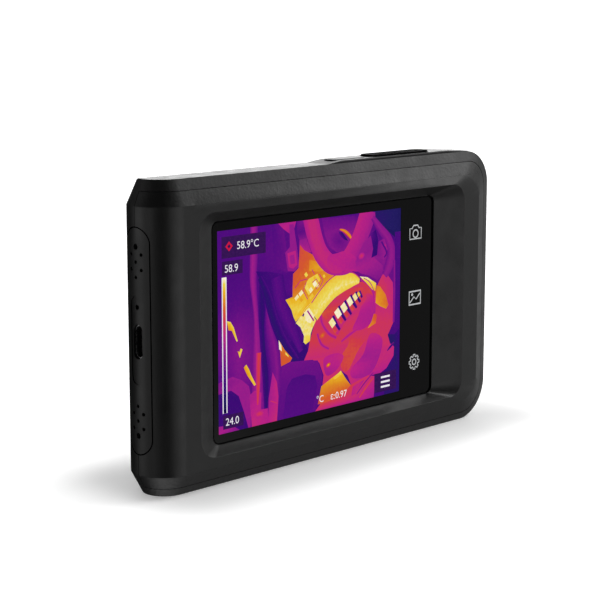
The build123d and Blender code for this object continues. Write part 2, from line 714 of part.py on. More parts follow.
FLANGE_FLOOR = SWITCH_TOP + CAPTURE_TRAVEL + 0.3
FLANGE_TOP = CASE_HEIGHT - 0.35


def push_button(x, length, width, top):
    """A slot-shaped key with a flange that keeps it in and a stem that meets its switch."""
    with BuildPart() as key:
        with BuildSketch(Plane.XY.offset(FLANGE_FLOOR)):
            with Locations((x, BUTTON_Y)):
                SlotOverall(length, width)
        extrude(amount=top - FLANGE_FLOOR)
        fillet(key.faces().sort_by(Axis.Z)[-1].edges(), 0.35)
        with BuildSketch(Plane.XY.offset(FLANGE_FLOOR)):
            with Locations((x, BUTTON_Y)):
                RectangleRounded(length - 3.0, width + 1.0, 1.0)
        extrude(amount=FLANGE_TOP - FLANGE_FLOOR)
        with BuildSketch(Plane.XY.offset(STEM_FOOT)):
            with Locations((x, BUTTON_Y)):
                Circle(STEM_RADIUS)
        extrude(amount=FLANGE_FLOOR - STEM_FOOT)
    return key


capture_key = push_button(CAPTURE_X, CAPTURE_LENGTH, CAPTURE_WIDTH, CAPTURE_TOP)
RIB_PITCH = 1.5
RIB_COUNT = 13
with BuildPart() as capture_button:
    add(capture_key.part)
    with BuildSketch(Plane.XY.offset(CAPTURE_TOP - 0.22)):
        with Locations((CAPTURE_X, BUTTON_Y)):
            with GridLocations(RIB_PITCH, 1, RIB_COUNT, 1):
                Rectangle(0.55, CAPTURE_WIDTH - 1.8)
    extrude(amount=1, mode=Mode.SUBTRACT)
save(capture_button, "capture_button")

power_button = push_button(POWER_X, POWER_LENGTH, POWER_WIDTH, POWER_TOP)
save(power_button, "power_button")

with BuildPart() as button_board:
    with BuildSketch(Plane.XY.offset(WELL_FLOOR)):
        with Locations((22.5, BUTTON_Y)):
            Rectangle(44.0, 5.6)
    extrude(amount=BUTTON_BOARD)
save(button_board, "button_board")


SWITCH_PLACES = [(CAPTURE_X, BUTTON_Y), (POWER_X, BUTTON_Y)]
with BuildPart() as tact_switches:
    with BuildSketch(Plane.XY.offset(WELL_FLOOR + BUTTON_BOARD)):
        with Locations(*SWITCH_PLACES):
            RectangleRounded(4.6, 4.6, 0.5)
    extrude(amount=SWITCH_TOP - WELL_FLOOR - BUTTON_BOARD)
    with BuildSketch(Plane.XY.offset(WELL_FLOOR + BUTTON_BOARD + 0.2)):
        with Locations(*SWITCH_PLACES):
            Circle(SWITCH_BORE)
    extrude(amount=2, mode=Mode.SUBTRACT)
save(tact_switches, "tact_switches")


def switch_plunger(x):
    """The plunger that a key's stem rests on."""
    with BuildPart() as plunger:
        with BuildSketch(Plane.XY.offset(SWITCH_TOP - 0.15)):
            with Locations((x, BUTTON_Y)):
                Circle(0.95)
        extrude(amount=STEM_FOOT - SWITCH_TOP + 0.15)
    return plunger


capture_plunger = switch_plunger(CAPTURE_X)
save(capture_plunger, "capture_plunger")
power_plunger = switch_plunger(POWER_X)
save(power_plunger, "power_plunger")

# ---- Thermal core -------------------------------------------------------------------
CORE = (
    LENS_X - CORE_SIZE / 2,
    LENS_X + CORE_SIZE / 2,
    LENS_Z - CORE_SIZE / 2,
    LENS_Z + CORE_SIZE / 2,
)
SENSOR_BOARD_Y = -2.4
SENSOR_Y = -1.4
FRAME_Y = 1.4
PLATE_Y = 2.7
FLANGE_Y = 3.6
LENS_PLANE = Plane(origin=(LENS_X, 0, LENS_Z), x_dir=(1, 0, 0), z_dir=(0, 0, 1))
LENS_AXIS = Axis((LENS_X, 0, LENS_Z), (0, 1, 0))


def on_lens(radius, front, back):
    """A round bar on the lens's axis."""
    return rods([(LENS_X, LENS_Z)], radius, front, back)


with BuildPart() as sensor_board:
    add(slab(CORE, SENSOR_BOARD_Y, SENSOR_Y, 1.0))
    add(rods(CORE_CORNERS, 0.85, SENSOR_BOARD_Y, SENSOR_Y), mode=Mode.SUBTRACT)
save(sensor_board, "sensor_board")

with BuildPart() as infrared_sensor:
    add(slab((LENS_X - 5.5, LENS_X + 5.5, LENS_Z - 5.0, LENS_Z + 5.5), SENSOR_Y, 0.6, 0.5))
save(infrared_sensor, "infrared_sensor")

with BuildPart() as sensor_window:
    add(slab((LENS_X - 4, LENS_X + 4, LENS_Z - 4, LENS_Z + 4), 0.6, 1.05, 0.4))
save(sensor_window, "sensor_window")

with BuildPart() as shutter_frame:
    add(slab(CORE, FRAME_Y, FLANGE_Y, 1.0))
    with BuildSketch(screen_plane(PLATE_Y)):
        with Locations((LENS_X, LENS_Z)):
            Rectangle(CORE_SIZE - 2, CORE_SIZE - 2)
            with GridLocations(2 * CORE_SCREW, 2 * CORE_SCREW, 2, 2):
                Rectangle(3.4, 3.4, mode=Mode.SUBTRACT)
    extrude(amount=3, mode=Mode.SUBTRACT)
    add(on_lens(SHUTTER_APERTURE, PLATE_Y, FLANGE_Y), mode=Mode.SUBTRACT)
    with BuildSketch(screen_plane(FRAME_Y)):
        with Locations((LENS_X, LENS_Z)):
            with GridLocations(2 * CORE_SCREW, 2 * CORE_SCREW, 2, 2):
                Rectangle(3.0, 3.0)
    extrude(amount=FRAME_Y - SENSOR_Y)
    add(rods(CORE_CORNERS, 0.85, SENSOR_Y, FLANGE_Y), mode=Mode.SUBTRACT)
save(shutter_frame, "shutter_frame")

with BuildPart() as shutter_motor:
    add(rods([(LENS_X, PIVOT_Z)], 2.0, SENSOR_Y, 1.3))
    add(rods([(LENS_X, PIVOT_Z)], 0.56, 0.0, 1.3), mode=Mode.SUBTRACT)
save(shutter_motor, "shutter_motor")

swing = math.radians(SHUTTER_ANGLE)
OPEN_PLACE = (LENS_X + SHUTTER_ARM * math.sin(swing), PIVOT_Z + SHUTTER_ARM * math.cos(swing))
with BuildPart() as shutter_flag:
    add(rods([OPEN_PLACE], SHUTTER_RADIUS, 1.75, 2.05))
    with BuildSketch(screen_plane(2.05)):
        arm_middle = ((LENS_X + OPEN_PLACE[0]) / 2, (PIVOT_Z + OPEN_PLACE[1]) / 2)
        with Locations(arm_middle):
            Rectangle(1.6, SHUTTER_ARM, rotation=-SHUTTER_ANGLE)
    extrude(amount=0.3)
    add(rods([(LENS_X, PIVOT_Z)], 1.3, 1.6, 2.35))
    add(rods([(LENS_X, PIVOT_Z)], 0.5, 1.6, 2.35), mode=Mode.SUBTRACT)
save(shutter_flag, "shutter_flag")

with BuildPart() as shutter_shaft:
    add(rods([(LENS_X, PIVOT_Z)], 0.5, 0.2, 2.35))
save(shutter_shaft, "shutter_shaft")

with BuildPart() as lens_barrel:
    add(slab(CORE, FLANGE_Y, 4.6, 1.0))
    add(on_lens(10.8, 4.6, 6.5))
    add(on_lens(9.6, 6.5, 11.6))
    add(on_lens(4.2, FLANGE_Y, 4.6), mode=Mode.SUBTRACT)
    add(on_lens(5.05, 4.6, 7.2), mode=Mode.SUBTRACT)
    add(on_lens(7.0, 7.2, 8.4), mode=Mode.SUBTRACT)
    add(on_lens(8.0, 8.4, 11.6), mode=Mode.SUBTRACT)
    add(rods(CORE_CORNERS, 0.85, FLANGE_Y, 4.6), mode=Mode.SUBTRACT)
save(lens_barrel, "lens_barrel")


def lens_element(radius, front, edge_back, crown):
    """A lens that is flat towards the sensor and domed towards the scene."""
    dome_radius = (radius**2 + crown**2) / (2 * crown)
    half_sag = dome_radius - math.sqrt(dome_radius**2 - radius**2 / 4)
    with BuildPart() as element:
        with BuildSketch(LENS_PLANE):
            with BuildLine():
                Polyline((0, edge_back + crown), (0, front), (radius, front), (radius, edge_back))
                ThreePointArc(
                    (radius, edge_back),
                    (radius / 2, edge_back + crown - half_sag),
                    (0, edge_back + crown),
                )
            make_face()
        revolve(axis=LENS_AXIS)
    return element


front_lens = lens_element(7.95, 8.4, 9.8, 1.05)
save(front_lens, "front_lens")
rear_lens = lens_element(5.0, 4.6, 5.8, 0.5)
save(rear_lens, "rear_lens")

with BuildPart() as lens_ring:
    add(on_lens(7.98, 10.3, 11.4))
    add(on_lens(6.9, 10.3, 11.4), mode=Mode.SUBTRACT)
save(lens_ring, "lens_ring")

with BuildPart() as lens_seal:
    add(on_lens(10.8, 6.5, CAVITY_BACK_Y))
    add(on_lens(9.65, 6.5, CAVITY_BACK_Y), mode=Mode.SUBTRACT)
save(lens_seal, "lens_seal")

core_screws = screws(CORE_CORNERS, 1.4, 0.7, 0.8, SENSOR_BOARD_Y, 6.4, True)
save(core_screws, "core_screws")

with BuildPart() as lens_bezel:
    left, right, low, high = BEZEL
    add(slab((left + 0.1, right - 0.1, low + 0.1, high - 0.1), BEZEL_SEAT_Y, BEZEL_Y, 5.9))
    chamfer(lens_bezel.faces().sort_by(Axis.Y)[-1].edges(), 0.9)
    add(on_lens(LENS_BORE, BEZEL_SEAT_Y, BEZEL_Y), mode=Mode.SUBTRACT)
    with BuildSketch(LENS_PLANE):
        with BuildLine():
            Polyline((0, 11.2), (LENS_BORE, 11.2), (LENS_BORE + 1, BEZEL_Y), (0, BEZEL_Y), close=True)
        make_face()
    revolve(axis=LENS_AXIS, mode=Mode.SUBTRACT)
    add(rods([(CAMERA_X, CAMERA_Z)], 3.2, BEZEL_SEAT_Y, BEZEL_Y), mode=Mode.SUBTRACT)
    add(rods([(CAMERA_X, CAMERA_Z)], 3.9, 11.1, BEZEL_Y), mode=Mode.SUBTRACT)
    add(rods([(CAMERA_X, LAMP_Z)], 2.7, BEZEL_SEAT_Y, BEZEL_Y), mode=Mode.SUBTRACT)
save(lens_bezel, "lens_bezel")

with BuildPart() as camera_window:
    add(rods([(CAMERA_X, CAMERA_Z)], 3.8, 11.1, 11.8))
save(camera_window, "camera_window")

with BuildPart() as camera_board:
    add(slab((17.5, 27.5, 48.5, 71.5), 2.4, 3.2, 0.8))
save(camera_board, "camera_board")

with BuildPart() as camera_module:
    add(slab((CAMERA_X - 4, CAMERA_X + 4, CAMERA_Z - 4, CAMERA_Z + 4), 3.2, 7.2, 0.5))
    add(rods([(CAMERA_X, CAMERA_Z)], 2.9, 7.2, 10.2))
    add(rods([(CAMERA_X, CAMERA_Z)], 1.6, 9.6, 10.2), mode=Mode.SUBTRACT)
save(camera_module, "camera_module")

with BuildPart() as lamp_led:
    add(slab((CAMERA_X - 1.8, CAMERA_X + 1.8, LAMP_Z - 1.8, LAMP_Z + 1.8), 3.2, 4.2, 0.2))
save(lamp_led, "lamp_led")

with BuildPart() as lamp_lens:
    add(rods([(CAMERA_X, LAMP_Z)], 2.5, 4.2, 11.7))
    fillet(lamp_lens.faces().sort_by(Axis.Y)[-1].edges(), 0.5)
save(lamp_lens, "lamp_lens")
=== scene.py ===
import json
import math

import bmesh
import bpy
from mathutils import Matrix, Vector
from mathutils.geometry import delaunay_2d_cdt, tessellate_polygon

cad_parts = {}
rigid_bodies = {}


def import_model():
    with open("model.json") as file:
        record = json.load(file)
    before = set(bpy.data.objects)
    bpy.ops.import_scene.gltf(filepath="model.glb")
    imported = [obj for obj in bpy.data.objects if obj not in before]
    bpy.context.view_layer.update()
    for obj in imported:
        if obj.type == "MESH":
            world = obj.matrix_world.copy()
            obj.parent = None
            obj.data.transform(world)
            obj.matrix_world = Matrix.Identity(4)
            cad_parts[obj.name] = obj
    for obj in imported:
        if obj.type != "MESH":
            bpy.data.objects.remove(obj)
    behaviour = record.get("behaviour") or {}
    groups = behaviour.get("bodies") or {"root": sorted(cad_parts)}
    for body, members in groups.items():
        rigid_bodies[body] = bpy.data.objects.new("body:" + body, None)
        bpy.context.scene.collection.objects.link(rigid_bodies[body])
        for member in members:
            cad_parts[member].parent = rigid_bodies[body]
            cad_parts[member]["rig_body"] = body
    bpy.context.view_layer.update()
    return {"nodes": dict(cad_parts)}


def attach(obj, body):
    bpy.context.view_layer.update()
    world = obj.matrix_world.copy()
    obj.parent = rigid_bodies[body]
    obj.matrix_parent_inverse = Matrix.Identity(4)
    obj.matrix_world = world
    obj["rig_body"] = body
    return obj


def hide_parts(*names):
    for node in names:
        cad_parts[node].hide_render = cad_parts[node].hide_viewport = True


# A pocket thermal imaging camera standing on its long lower edge, in metres.
# X runs along the case, the screen faces -Y and Z is up.

MM = 0.001
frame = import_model()
nodes = frame["nodes"]
scene = bpy.context.scene

# ---- Node materials ----
# Sizes of the case that the finishes follow: its mid height and half the height of its flat
# sides, the (y, z) centre, half straight length and end radius of the side insert, the half
# width of the painted shade along the joint round the insert, and the x below which a surface
# belongs to the left end.
CASE_MIDDLE, CASE_FLAT = 41.6 * MM, 35.7 * MM
INSERT_CENTRE, INSERT_STRAIGHT, INSERT_RADIUS = (-3.1 * MM, 41.8 * MM), 25.9 * MM, 4.3 * MM
JOINT_SHADE_HALF = 0.17 * MM
LEFT_END = -60 * MM
# The sockets of a colour Mix node, which share their names with its other types
MIX_COLOURS, MIX_RESULT = (6, 7), 2
LOW, HIGH = 0.3, 0.7  # most noise lies between these


class Shader:
    """A Principled material whose sockets are set here or fed by procedural nodes."""

    def __init__(self, name, **sockets):
        self.material = bpy.data.materials.new(name)
        self.material.use_nodes = True
        self.tree = self.material.node_tree
        self.surface = self.tree.nodes["Principled BSDF"]
        self.place = self.add("ShaderNodeTexCoord").outputs["Object"]
        for socket, value in sockets.items():
            label = socket.replace("_", " ").title().replace("Ior", "IOR")
            self.surface.inputs[label].default_value = value

    def add(self, kind, **settings):
        node = self.tree.nodes.new(kind)
        for setting, value in settings.items():
            setattr(node, setting, value)
        return node

    def feed(self, node, socket, value):
        """Link value to a node's input if it is an output socket, or set it as a number."""
        if isinstance(value, bpy.types.NodeSocket):
            self.tree.links.new(value, node.inputs[socket])
        else:
            node.inputs[socket].default_value = value

    def math(self, operation, *values):
        node = self.add("ShaderNodeMath", operation=operation)
        for socket, value in enumerate(values):
            self.feed(node, socket, value)
        return node.outputs[0]

    def axes(self):
        split = self.add("ShaderNodeSeparateXYZ")
        self.feed(split, 0, self.place)
        return split.outputs

    def noise(self, size, detail, stretch=(1, 1, 1)):
        """Noise with features of about size metres, stretched along each axis."""
        node = self.add("ShaderNodeTexNoise")
        spread = self.add("ShaderNodeMapping")
        spread.inputs["Scale"].default_value = [1 / s for s in stretch]
        self.feed(spread, "Vector", self.place)
        self.feed(node, "Vector", spread.outputs[0])
        self.feed(node, "Scale", 1 / size)
        self.feed(node, "Detail", detail)
        return node.outputs["Fac"]

    def cells(self, size):
        """Round cells of about size metres: the distance from each cell's middle."""
        node = self.add("ShaderNodeTexVoronoi")
        self.feed(node, "Vector", self.place)
        self.feed(node, "Scale", 1 / size)
        return node.outputs["Distance"]

    def ramp(self, value, *stops):
        """Colours blended along value, from stops of (position, colour)."""
        node = self.add("ShaderNodeValToRGB")
        self.feed(node, 0, value)
        elements = node.color_ramp.elements
        elements[0].position, elements[1].position = stops[0][0], stops[-1][0]
        for position, _ in stops[1:-1]:
            elements.new(position)
        for element, (_, colour) in zip(elements, stops):
            element.color = (*colour, 1)
        return node.outputs[0]

    def mottled(self, noise, dark, light):
        """Two colours blended along noise."""
        return self.ramp(noise, (LOW, dark), (HIGH, light))

    def between(self, noise, low, high):
        """Turn noise into a value from low to high."""
        node = self.add("ShaderNodeMapRange")
        for socket, number in enumerate([noise, LOW, HIGH, low, high]):
            self.feed(node, socket, number)
        return node.outputs[0]

    def bump(self, height, depth):
        node = self.add("ShaderNodeBump")
        self.feed(node, "Height", height)
        self.feed(node, "Distance", depth)
        self.feed(node, "Strength", 1.0)
        self.feed(self.surface, "Normal", node.outputs[0])

    def blend(self, factor, low, high):
        """The colour low where factor is 0 and high where it is 1."""
        node = self.add("ShaderNodeMix", data_type="RGBA")
        self.feed(node, "Factor", factor)
        for socket, colour in zip(MIX_COLOURS, (low, high)):
            self.feed(node, socket, colour)
        return node.outputs[MIX_RESULT]

    def colour(self, value):
        self.feed(self.surface, "Base Color", value)

    def roughness(self, value):
        self.feed(self.surface, "Roughness", value)


def shade(colour, factor):
    return tuple(c * factor for c in colour)


def insert_joint_shade(s):
    """1 along the joint round the side insert, 0 elsewhere: where the gap's shade is painted."""
    x, y, z = s.axes()
    rise = s.math("ABSOLUTE", s.math("SUBTRACT", z, INSERT_CENTRE[1]))
    above = s.math("MAXIMUM", s.math("SUBTRACT", rise, INSERT_STRAIGHT), 0.0)
    aside = s.math("SUBTRACT", y, INSERT_CENTRE[0])
    square = s.math("ADD", s.math("POWER", above, 2.0), s.math("MULTIPLY", aside, aside))
    reach = s.math("SQRT", square)
    near = s.math("LESS_THAN", s.math("ABSOLUTE", s.math("SUBTRACT", reach, INSERT_RADIUS)), JOINT_SHADE_HALF)
    return s.math("MULTIPLY", near, s.math("LESS_THAN", x, LEFT_END))


def moulded(name, colour, rough, grain, depth, specular=0.5, leather=0.0, joint_shade=False):
    """Moulded plastic: fine grain, uneven gloss, and on the sloping bands a leather texture."""
    s = Shader(name, specular_ior_level=specular)
    tone = s.mottled(s.noise(0.011, 4), shade(colour, 0.88), shade(colour, 1.12))
    # Painted shade in the gap round the side insert: colour darkened to a fifth and no gloss along
    # the joint
    if joint_shade:
        joint_shade_mask = insert_joint_shade(s)
        tone = s.blend(joint_shade_mask, tone, (*shade(colour, 0.2), 1))
        gloss = s.math("MULTIPLY", s.math("SUBTRACT", 1.0, joint_shade_mask), specular)
        s.feed(s.surface, "Specular IOR Level", gloss)
    s.colour(tone)
    s.roughness(s.between(s.noise(0.006, 5), rough - 0.05, rough + 0.05))
    relief = s.math("ADD", s.noise(grain, 3), s.math("MULTIPLY", s.cells(grain * 1.7), 0.6))
    if leather > 0:
        z = s.axes()[2]
        off = s.math("ABSOLUTE", s.math("SUBTRACT", z, CASE_MIDDLE))
        sloping = s.math("GREATER_THAN", off, CASE_FLAT)
        hide = s.math("ADD", s.cells(0.0011), s.noise(0.0008, 3))
        hide = s.math("MULTIPLY", s.math("MULTIPLY", hide, sloping), leather)
        relief = s.math("ADD", relief, hide)
    s.bump(relief, depth)
    return s.material


def rubber(name, colour, rough=0.7, specular=0.35):
    s = Shader(name, specular_ior_level=specular)
    s.colour(s.mottled(s.noise(0.004, 5), shade(colour, 0.8), shade(colour, 1.2)))
    s.roughness(s.between(s.noise(0.0015, 3), rough - 0.08, rough + 0.08))
    s.bump(s.noise(0.00018, 4), 0.00002)
    return s.material


def brushed(name, colour, rough, direction=(1, 1, 12)):
    """Bare or coated metal with drawn or turned lines along one axis."""
    s = Shader(name, metallic=1.0)
    lines = s.noise(0.0002, 3, direction)
    s.colour(s.mottled(s.noise(0.004, 4), shade(colour, 0.85), colour))
    s.roughness(s.between(lines, rough - 0.08, rough + 0.1))
    s.bump(lines, 0.000006)
    return s.material


def solder_resist(name):
    """Green solder resist over copper tracks, with tinned pads and through holes."""
    s = Shader(name, specular_ior_level=0.6)
    lanes = s.noise(0.0016, 1, (5, 1, 1))
    tracks = s.math("GREATER_THAN", s.math("PINGPONG", s.math("MULTIPLY", lanes, 12), 1), 0.55)
    pads = s.math("LESS_THAN", s.cells(0.0021), 0.2)
    green = s.ramp(tracks, (0.0, (0.008, 0.05, 0.022)), (1.0, (0.018, 0.1, 0.042)))
    s.colour(s.blend(pads, green, (0.62, 0.58, 0.5, 1)))
    s.roughness(s.between(s.noise(0.003, 3), 0.25, 0.4))
    s.bump(s.math("ADD", tracks, s.math("MULTIPLY", pads, 2.0)), 0.00002)
    return s.material


def film(name, colour, rough, lines=0.0):
    """A thin laminated film, with even traces across it where lines is above zero."""
    s = Shader(name, specular_ior_level=0.6)
    tone = s.noise(0.003, 3)
    if lines > 0:
        wave = s.add("ShaderNodeTexWave", bands_direction="X")
        s.feed(wave, "Vector", s.place)
        s.feed(wave, "Scale", 1 / lines)
        traces = s.math("MULTIPLY", wave.outputs["Fac"], 0.5)
        tone = s.math("ADD", traces, s.math("MULTIPLY", tone, 0.5))
    s.colour(s.ramp(tone, (0.25, shade(colour, 0.7)), (0.75, shade(colour, 1.15))))
    s.roughness(s.between(s.noise(0.002, 4), rough - 0.05, rough + 0.08))
    s.bump(s.noise(0.002, 5), 0.00003)
    return s.material


CASE_COLOUR = (0.0042, 0.0042, 0.0043)
BAND_COLOUR = (0.0044, 0.0044, 0.0045)
TRIM_COLOUR = (0.006, 0.006, 0.0062)
LEATHER = 2.2
case_plastic = moulded("case_satin", CASE_COLOUR, 0.42, 0.0003, 0.000012,
                       leather=LEATHER, joint_shade=True)
band_plastic = moulded("band_textured", BAND_COLOUR, 0.46, 0.0004, 0.000014,
                       leather=LEATHER, joint_shade=True)
insert_plastic = moulded("insert_satin", TRIM_COLOUR, 0.4, 0.00025, 0.000008, joint_shade=True)
trim_plastic = moulded("trim_satin", TRIM_COLOUR, 0.45, 0.00025, 0.000008, specular=0.25)
chip_plastic = moulded("chip_epoxy", (0.02, 0.02, 0.021), 0.5, 0.0001, 0.000008)
white_plastic = moulded("backlight_white", (0.72, 0.72, 0.7), 0.35, 0.0004, 0.00001)
key_rubber = rubber("key_black", (0.0022, 0.0022, 0.0023), 0.85, specular=0.06)
seal_rubber = rubber("seal_silicone", (0.03, 0.03, 0.032))
adhesive = rubber("adhesive_foam", (0.012, 0.012, 0.012), 0.8)
label_film = film("label_matt", (0.02, 0.02, 0.021), 0.45)
flex_film = film("flex_polyimide", (0.36, 0.16, 0.035), 0.3, 0.0006)
foil = film("pouch_foil", (0.42, 0.43, 0.45), 0.35)
foil.node_tree.nodes["Principled BSDF"].inputs["Metallic"].default_value = 0.9
steel = brushed("sheet_steel", (0.5, 0.5, 0.51), 0.3)
screw_steel = brushed("screw_blackened", (0.09, 0.09, 0.092), 0.35, (8, 8, 1))
usb_steel = brushed("usb_nickel", (0.34, 0.34, 0.35), 0.28, (12, 1, 1))
anodised = brushed("anodised_black", (0.03, 0.03, 0.032), 0.4, (1, 8, 1))
brass = brushed("turned_brass", (0.6, 0.42, 0.17), 0.25, (1, 1, 8))
board = solder_resist("solder_resist")


def coated_lens(name):
    """Polished germanium with a coating that shifts from violet to green with the angle."""
    s = Shader(name, metallic=0.85, roughness=0.06)
    edge = s.add("ShaderNodeLayerWeight")
    s.feed(edge, "Blend", 0.35)
    haze = s.math("MULTIPLY", s.noise(0.0035, 5), 0.25)
    tint = s.math("ADD", edge.outputs["Facing"], haze)
    violet, blue, green = (0.055, 0.035, 0.09), (0.05, 0.07, 0.12), (0.1, 0.13, 0.1)
    s.colour(s.ramp(tint, (0.1, violet), (0.5, blue), (0.95, green)))
    s.roughness(s.between(s.noise(0.001, 6), 0.04, 0.12))
    return s.material


def clear_window(name, tint, alpha):
    """Clear glass or plastic: faint smears in the gloss, and see-through."""
    s = Shader(name, alpha=alpha, specular_ior_level=0.6)
    s.colour(s.mottled(s.noise(0.003, 4), shade(tint, 0.85), tint))
    s.roughness(s.between(s.noise(0.0015, 5), 0.03, 0.1))
    return s.material


def bordered_glass(name, centre, half):
    """Cover glass that is see-through over the display and black round it."""
    s = Shader(name, specular_ior_level=0.4)
    x, _, z = s.axes()
    across = s.math("SUBTRACT", s.math("ABSOLUTE", s.math("SUBTRACT", x, centre[0])), half[0])
    up = s.math("SUBTRACT", s.math("ABSOLUTE", s.math("SUBTRACT", z, centre[1])), half[1])
    border = s.math("GREATER_THAN", s.math("MAXIMUM", across, up), 0.0)
    s.feed(s.surface, "Alpha", s.math("ADD", s.math("MULTIPLY", border, 0.97), 0.03))
    s.colour(s.mottled(s.noise(0.02, 3), (0.0012, 0.0012, 0.0013), (0.002, 0.002, 0.0021)))
    s.roughness(s.between(s.noise(0.008, 5), 0.05, 0.12))
    return s.material


def glowing(name, *stops, attribute=None, speckle=1.0):
    """A lit part of the display: its tone follows an attribute, with a little sensor noise."""
    s = Shader(name, roughness=0.6, specular_ior_level=0.0, emission_strength=1.0)
    s.surface.inputs["Base Color"].default_value = (0.0, 0.0, 0.0, 1.0)
    tone = s.math("MULTIPLY", s.noise(0.0009, 3), speckle)
    if attribute:
        source = s.add("ShaderNodeAttribute", attribute_name=attribute)
        tone = s.math("ADD", source.outputs["Fac"], s.math("SUBTRACT", tone, speckle / 2))
    s.feed(s.surface, "Emission Color", s.ramp(tone, *stops))
    return s.material


def srgb(red, green, blue):
    """A linear colour from its 0 to 255 display values."""
    return tuple(
        c / 12.92 if c <= 0.04045 else ((c + 0.055) / 1.055) ** 2.4
        for c in (red / 255, green / 255, blue / 255)
    )


HEAT_COLOURS = (
    (0.00, srgb(16, 10, 62)),
    (0.10, srgb(36, 28, 98)),
    (0.18, srgb(54, 12, 114)),
    (0.28, srgb(84, 14, 128)),
    (0.38, srgb(118, 20, 134)),
    (0.48, srgb(152, 30, 138)),
    (0.56, srgb(184, 34, 134)),
    (0.64, srgb(202, 48, 106)),
    (0.70, srgb(208, 58, 74)),
    (0.76, srgb(214, 92, 44)),
    (0.84, srgb(224, 146, 36)),
    (0.90, srgb(236, 184, 40)),
    (0.95, srgb(238, 216, 86)),
    (1.00, srgb(252, 244, 224)),
)
germanium = coated_lens("germanium_coated")
window_glass = clear_window("camera_window_clear", (0.02, 0.022, 0.025), 0.35)
lamp_glass = clear_window("lamp_lens_clear", (0.75, 0.78, 0.8), 0.35)
heat_glow = glowing("thermal_glow", *HEAT_COLOURS, attribute="warmth", speckle=0.06)
text_glow, icon_glow, label_glow, marker_glow = (
    glowing(name, (LOW, srgb(*dark)), (HIGH, srgb(*light)))
    for name, dark, light in (
        ("reading_glow", (232, 226, 236), (246, 243, 248)),
        ("icon_glow", (172, 174, 176), (190, 192, 194)),
        ("label_glow", (48, 20, 78), (60, 24, 88)),
        ("marker_glow", (196, 20, 60), (214, 30, 74)),
    )
)

# ---- Display picture ----
# The picture is drawn in its own units from its centre: 71 across and 53.3 high.
PICTURE_UNIT = 1.045 * MM
PICTURE_CENTRE = (-7.7 * MM, 41.2 * MM)
PICTURE_HALF = (35.55, 26.65)
GLASS_FRONT_Y = -8.05 * MM
PICTURE_Y, LABEL_Y, SCALE_Y, READING_Y = (GLASS_FRONT_Y + d * MM for d in (0.1, 0.08, 0.065, 0.05))
ICON_Y = GLASS_FRONT_Y - 0.01 * MM
LEAST = 1e-4  # points nearer than this are one point
DISC_SIDES = 16
cover_glass = bordered_glass(
    "cover_glass_printed", PICTURE_CENTRE, [h * PICTURE_UNIT for h in PICTURE_HALF]
)


def on_screen(u, y, v):
    """Where a point of the picture lies in the camera, at depth y."""
    return PICTURE_CENTRE[0] + u * PICTURE_UNIT, y, PICTURE_CENTRE[1] + v * PICTURE_UNIT


def smooth(points, steps=5, closed=False):
    """More points on a smooth curve through the given ones."""
    count = len(points)
    out = []
    for i in range(count if closed else count - 1):
        if closed:
            a, b, c, d = (points[(i + k) % count] for k in (-1, 0, 1, 2))
        else:
            a, b, c, d = (points[min(max(i + k, 0), count - 1)] for k in (-1, 0, 1, 2))
        for step in range(steps):
            t = step / steps
            out.append(tuple(
                0.5 * (2 * q + (r - p) * t + (2 * p - 5 * q + 4 * r - s) * t**2
                       + (3 * q - p - 3 * r + s) * t**3)
                for p, q, r, s in zip(a, b, c, d)
            ))
    if not closed:
        out.append(tuple(points[-1]))
    return out


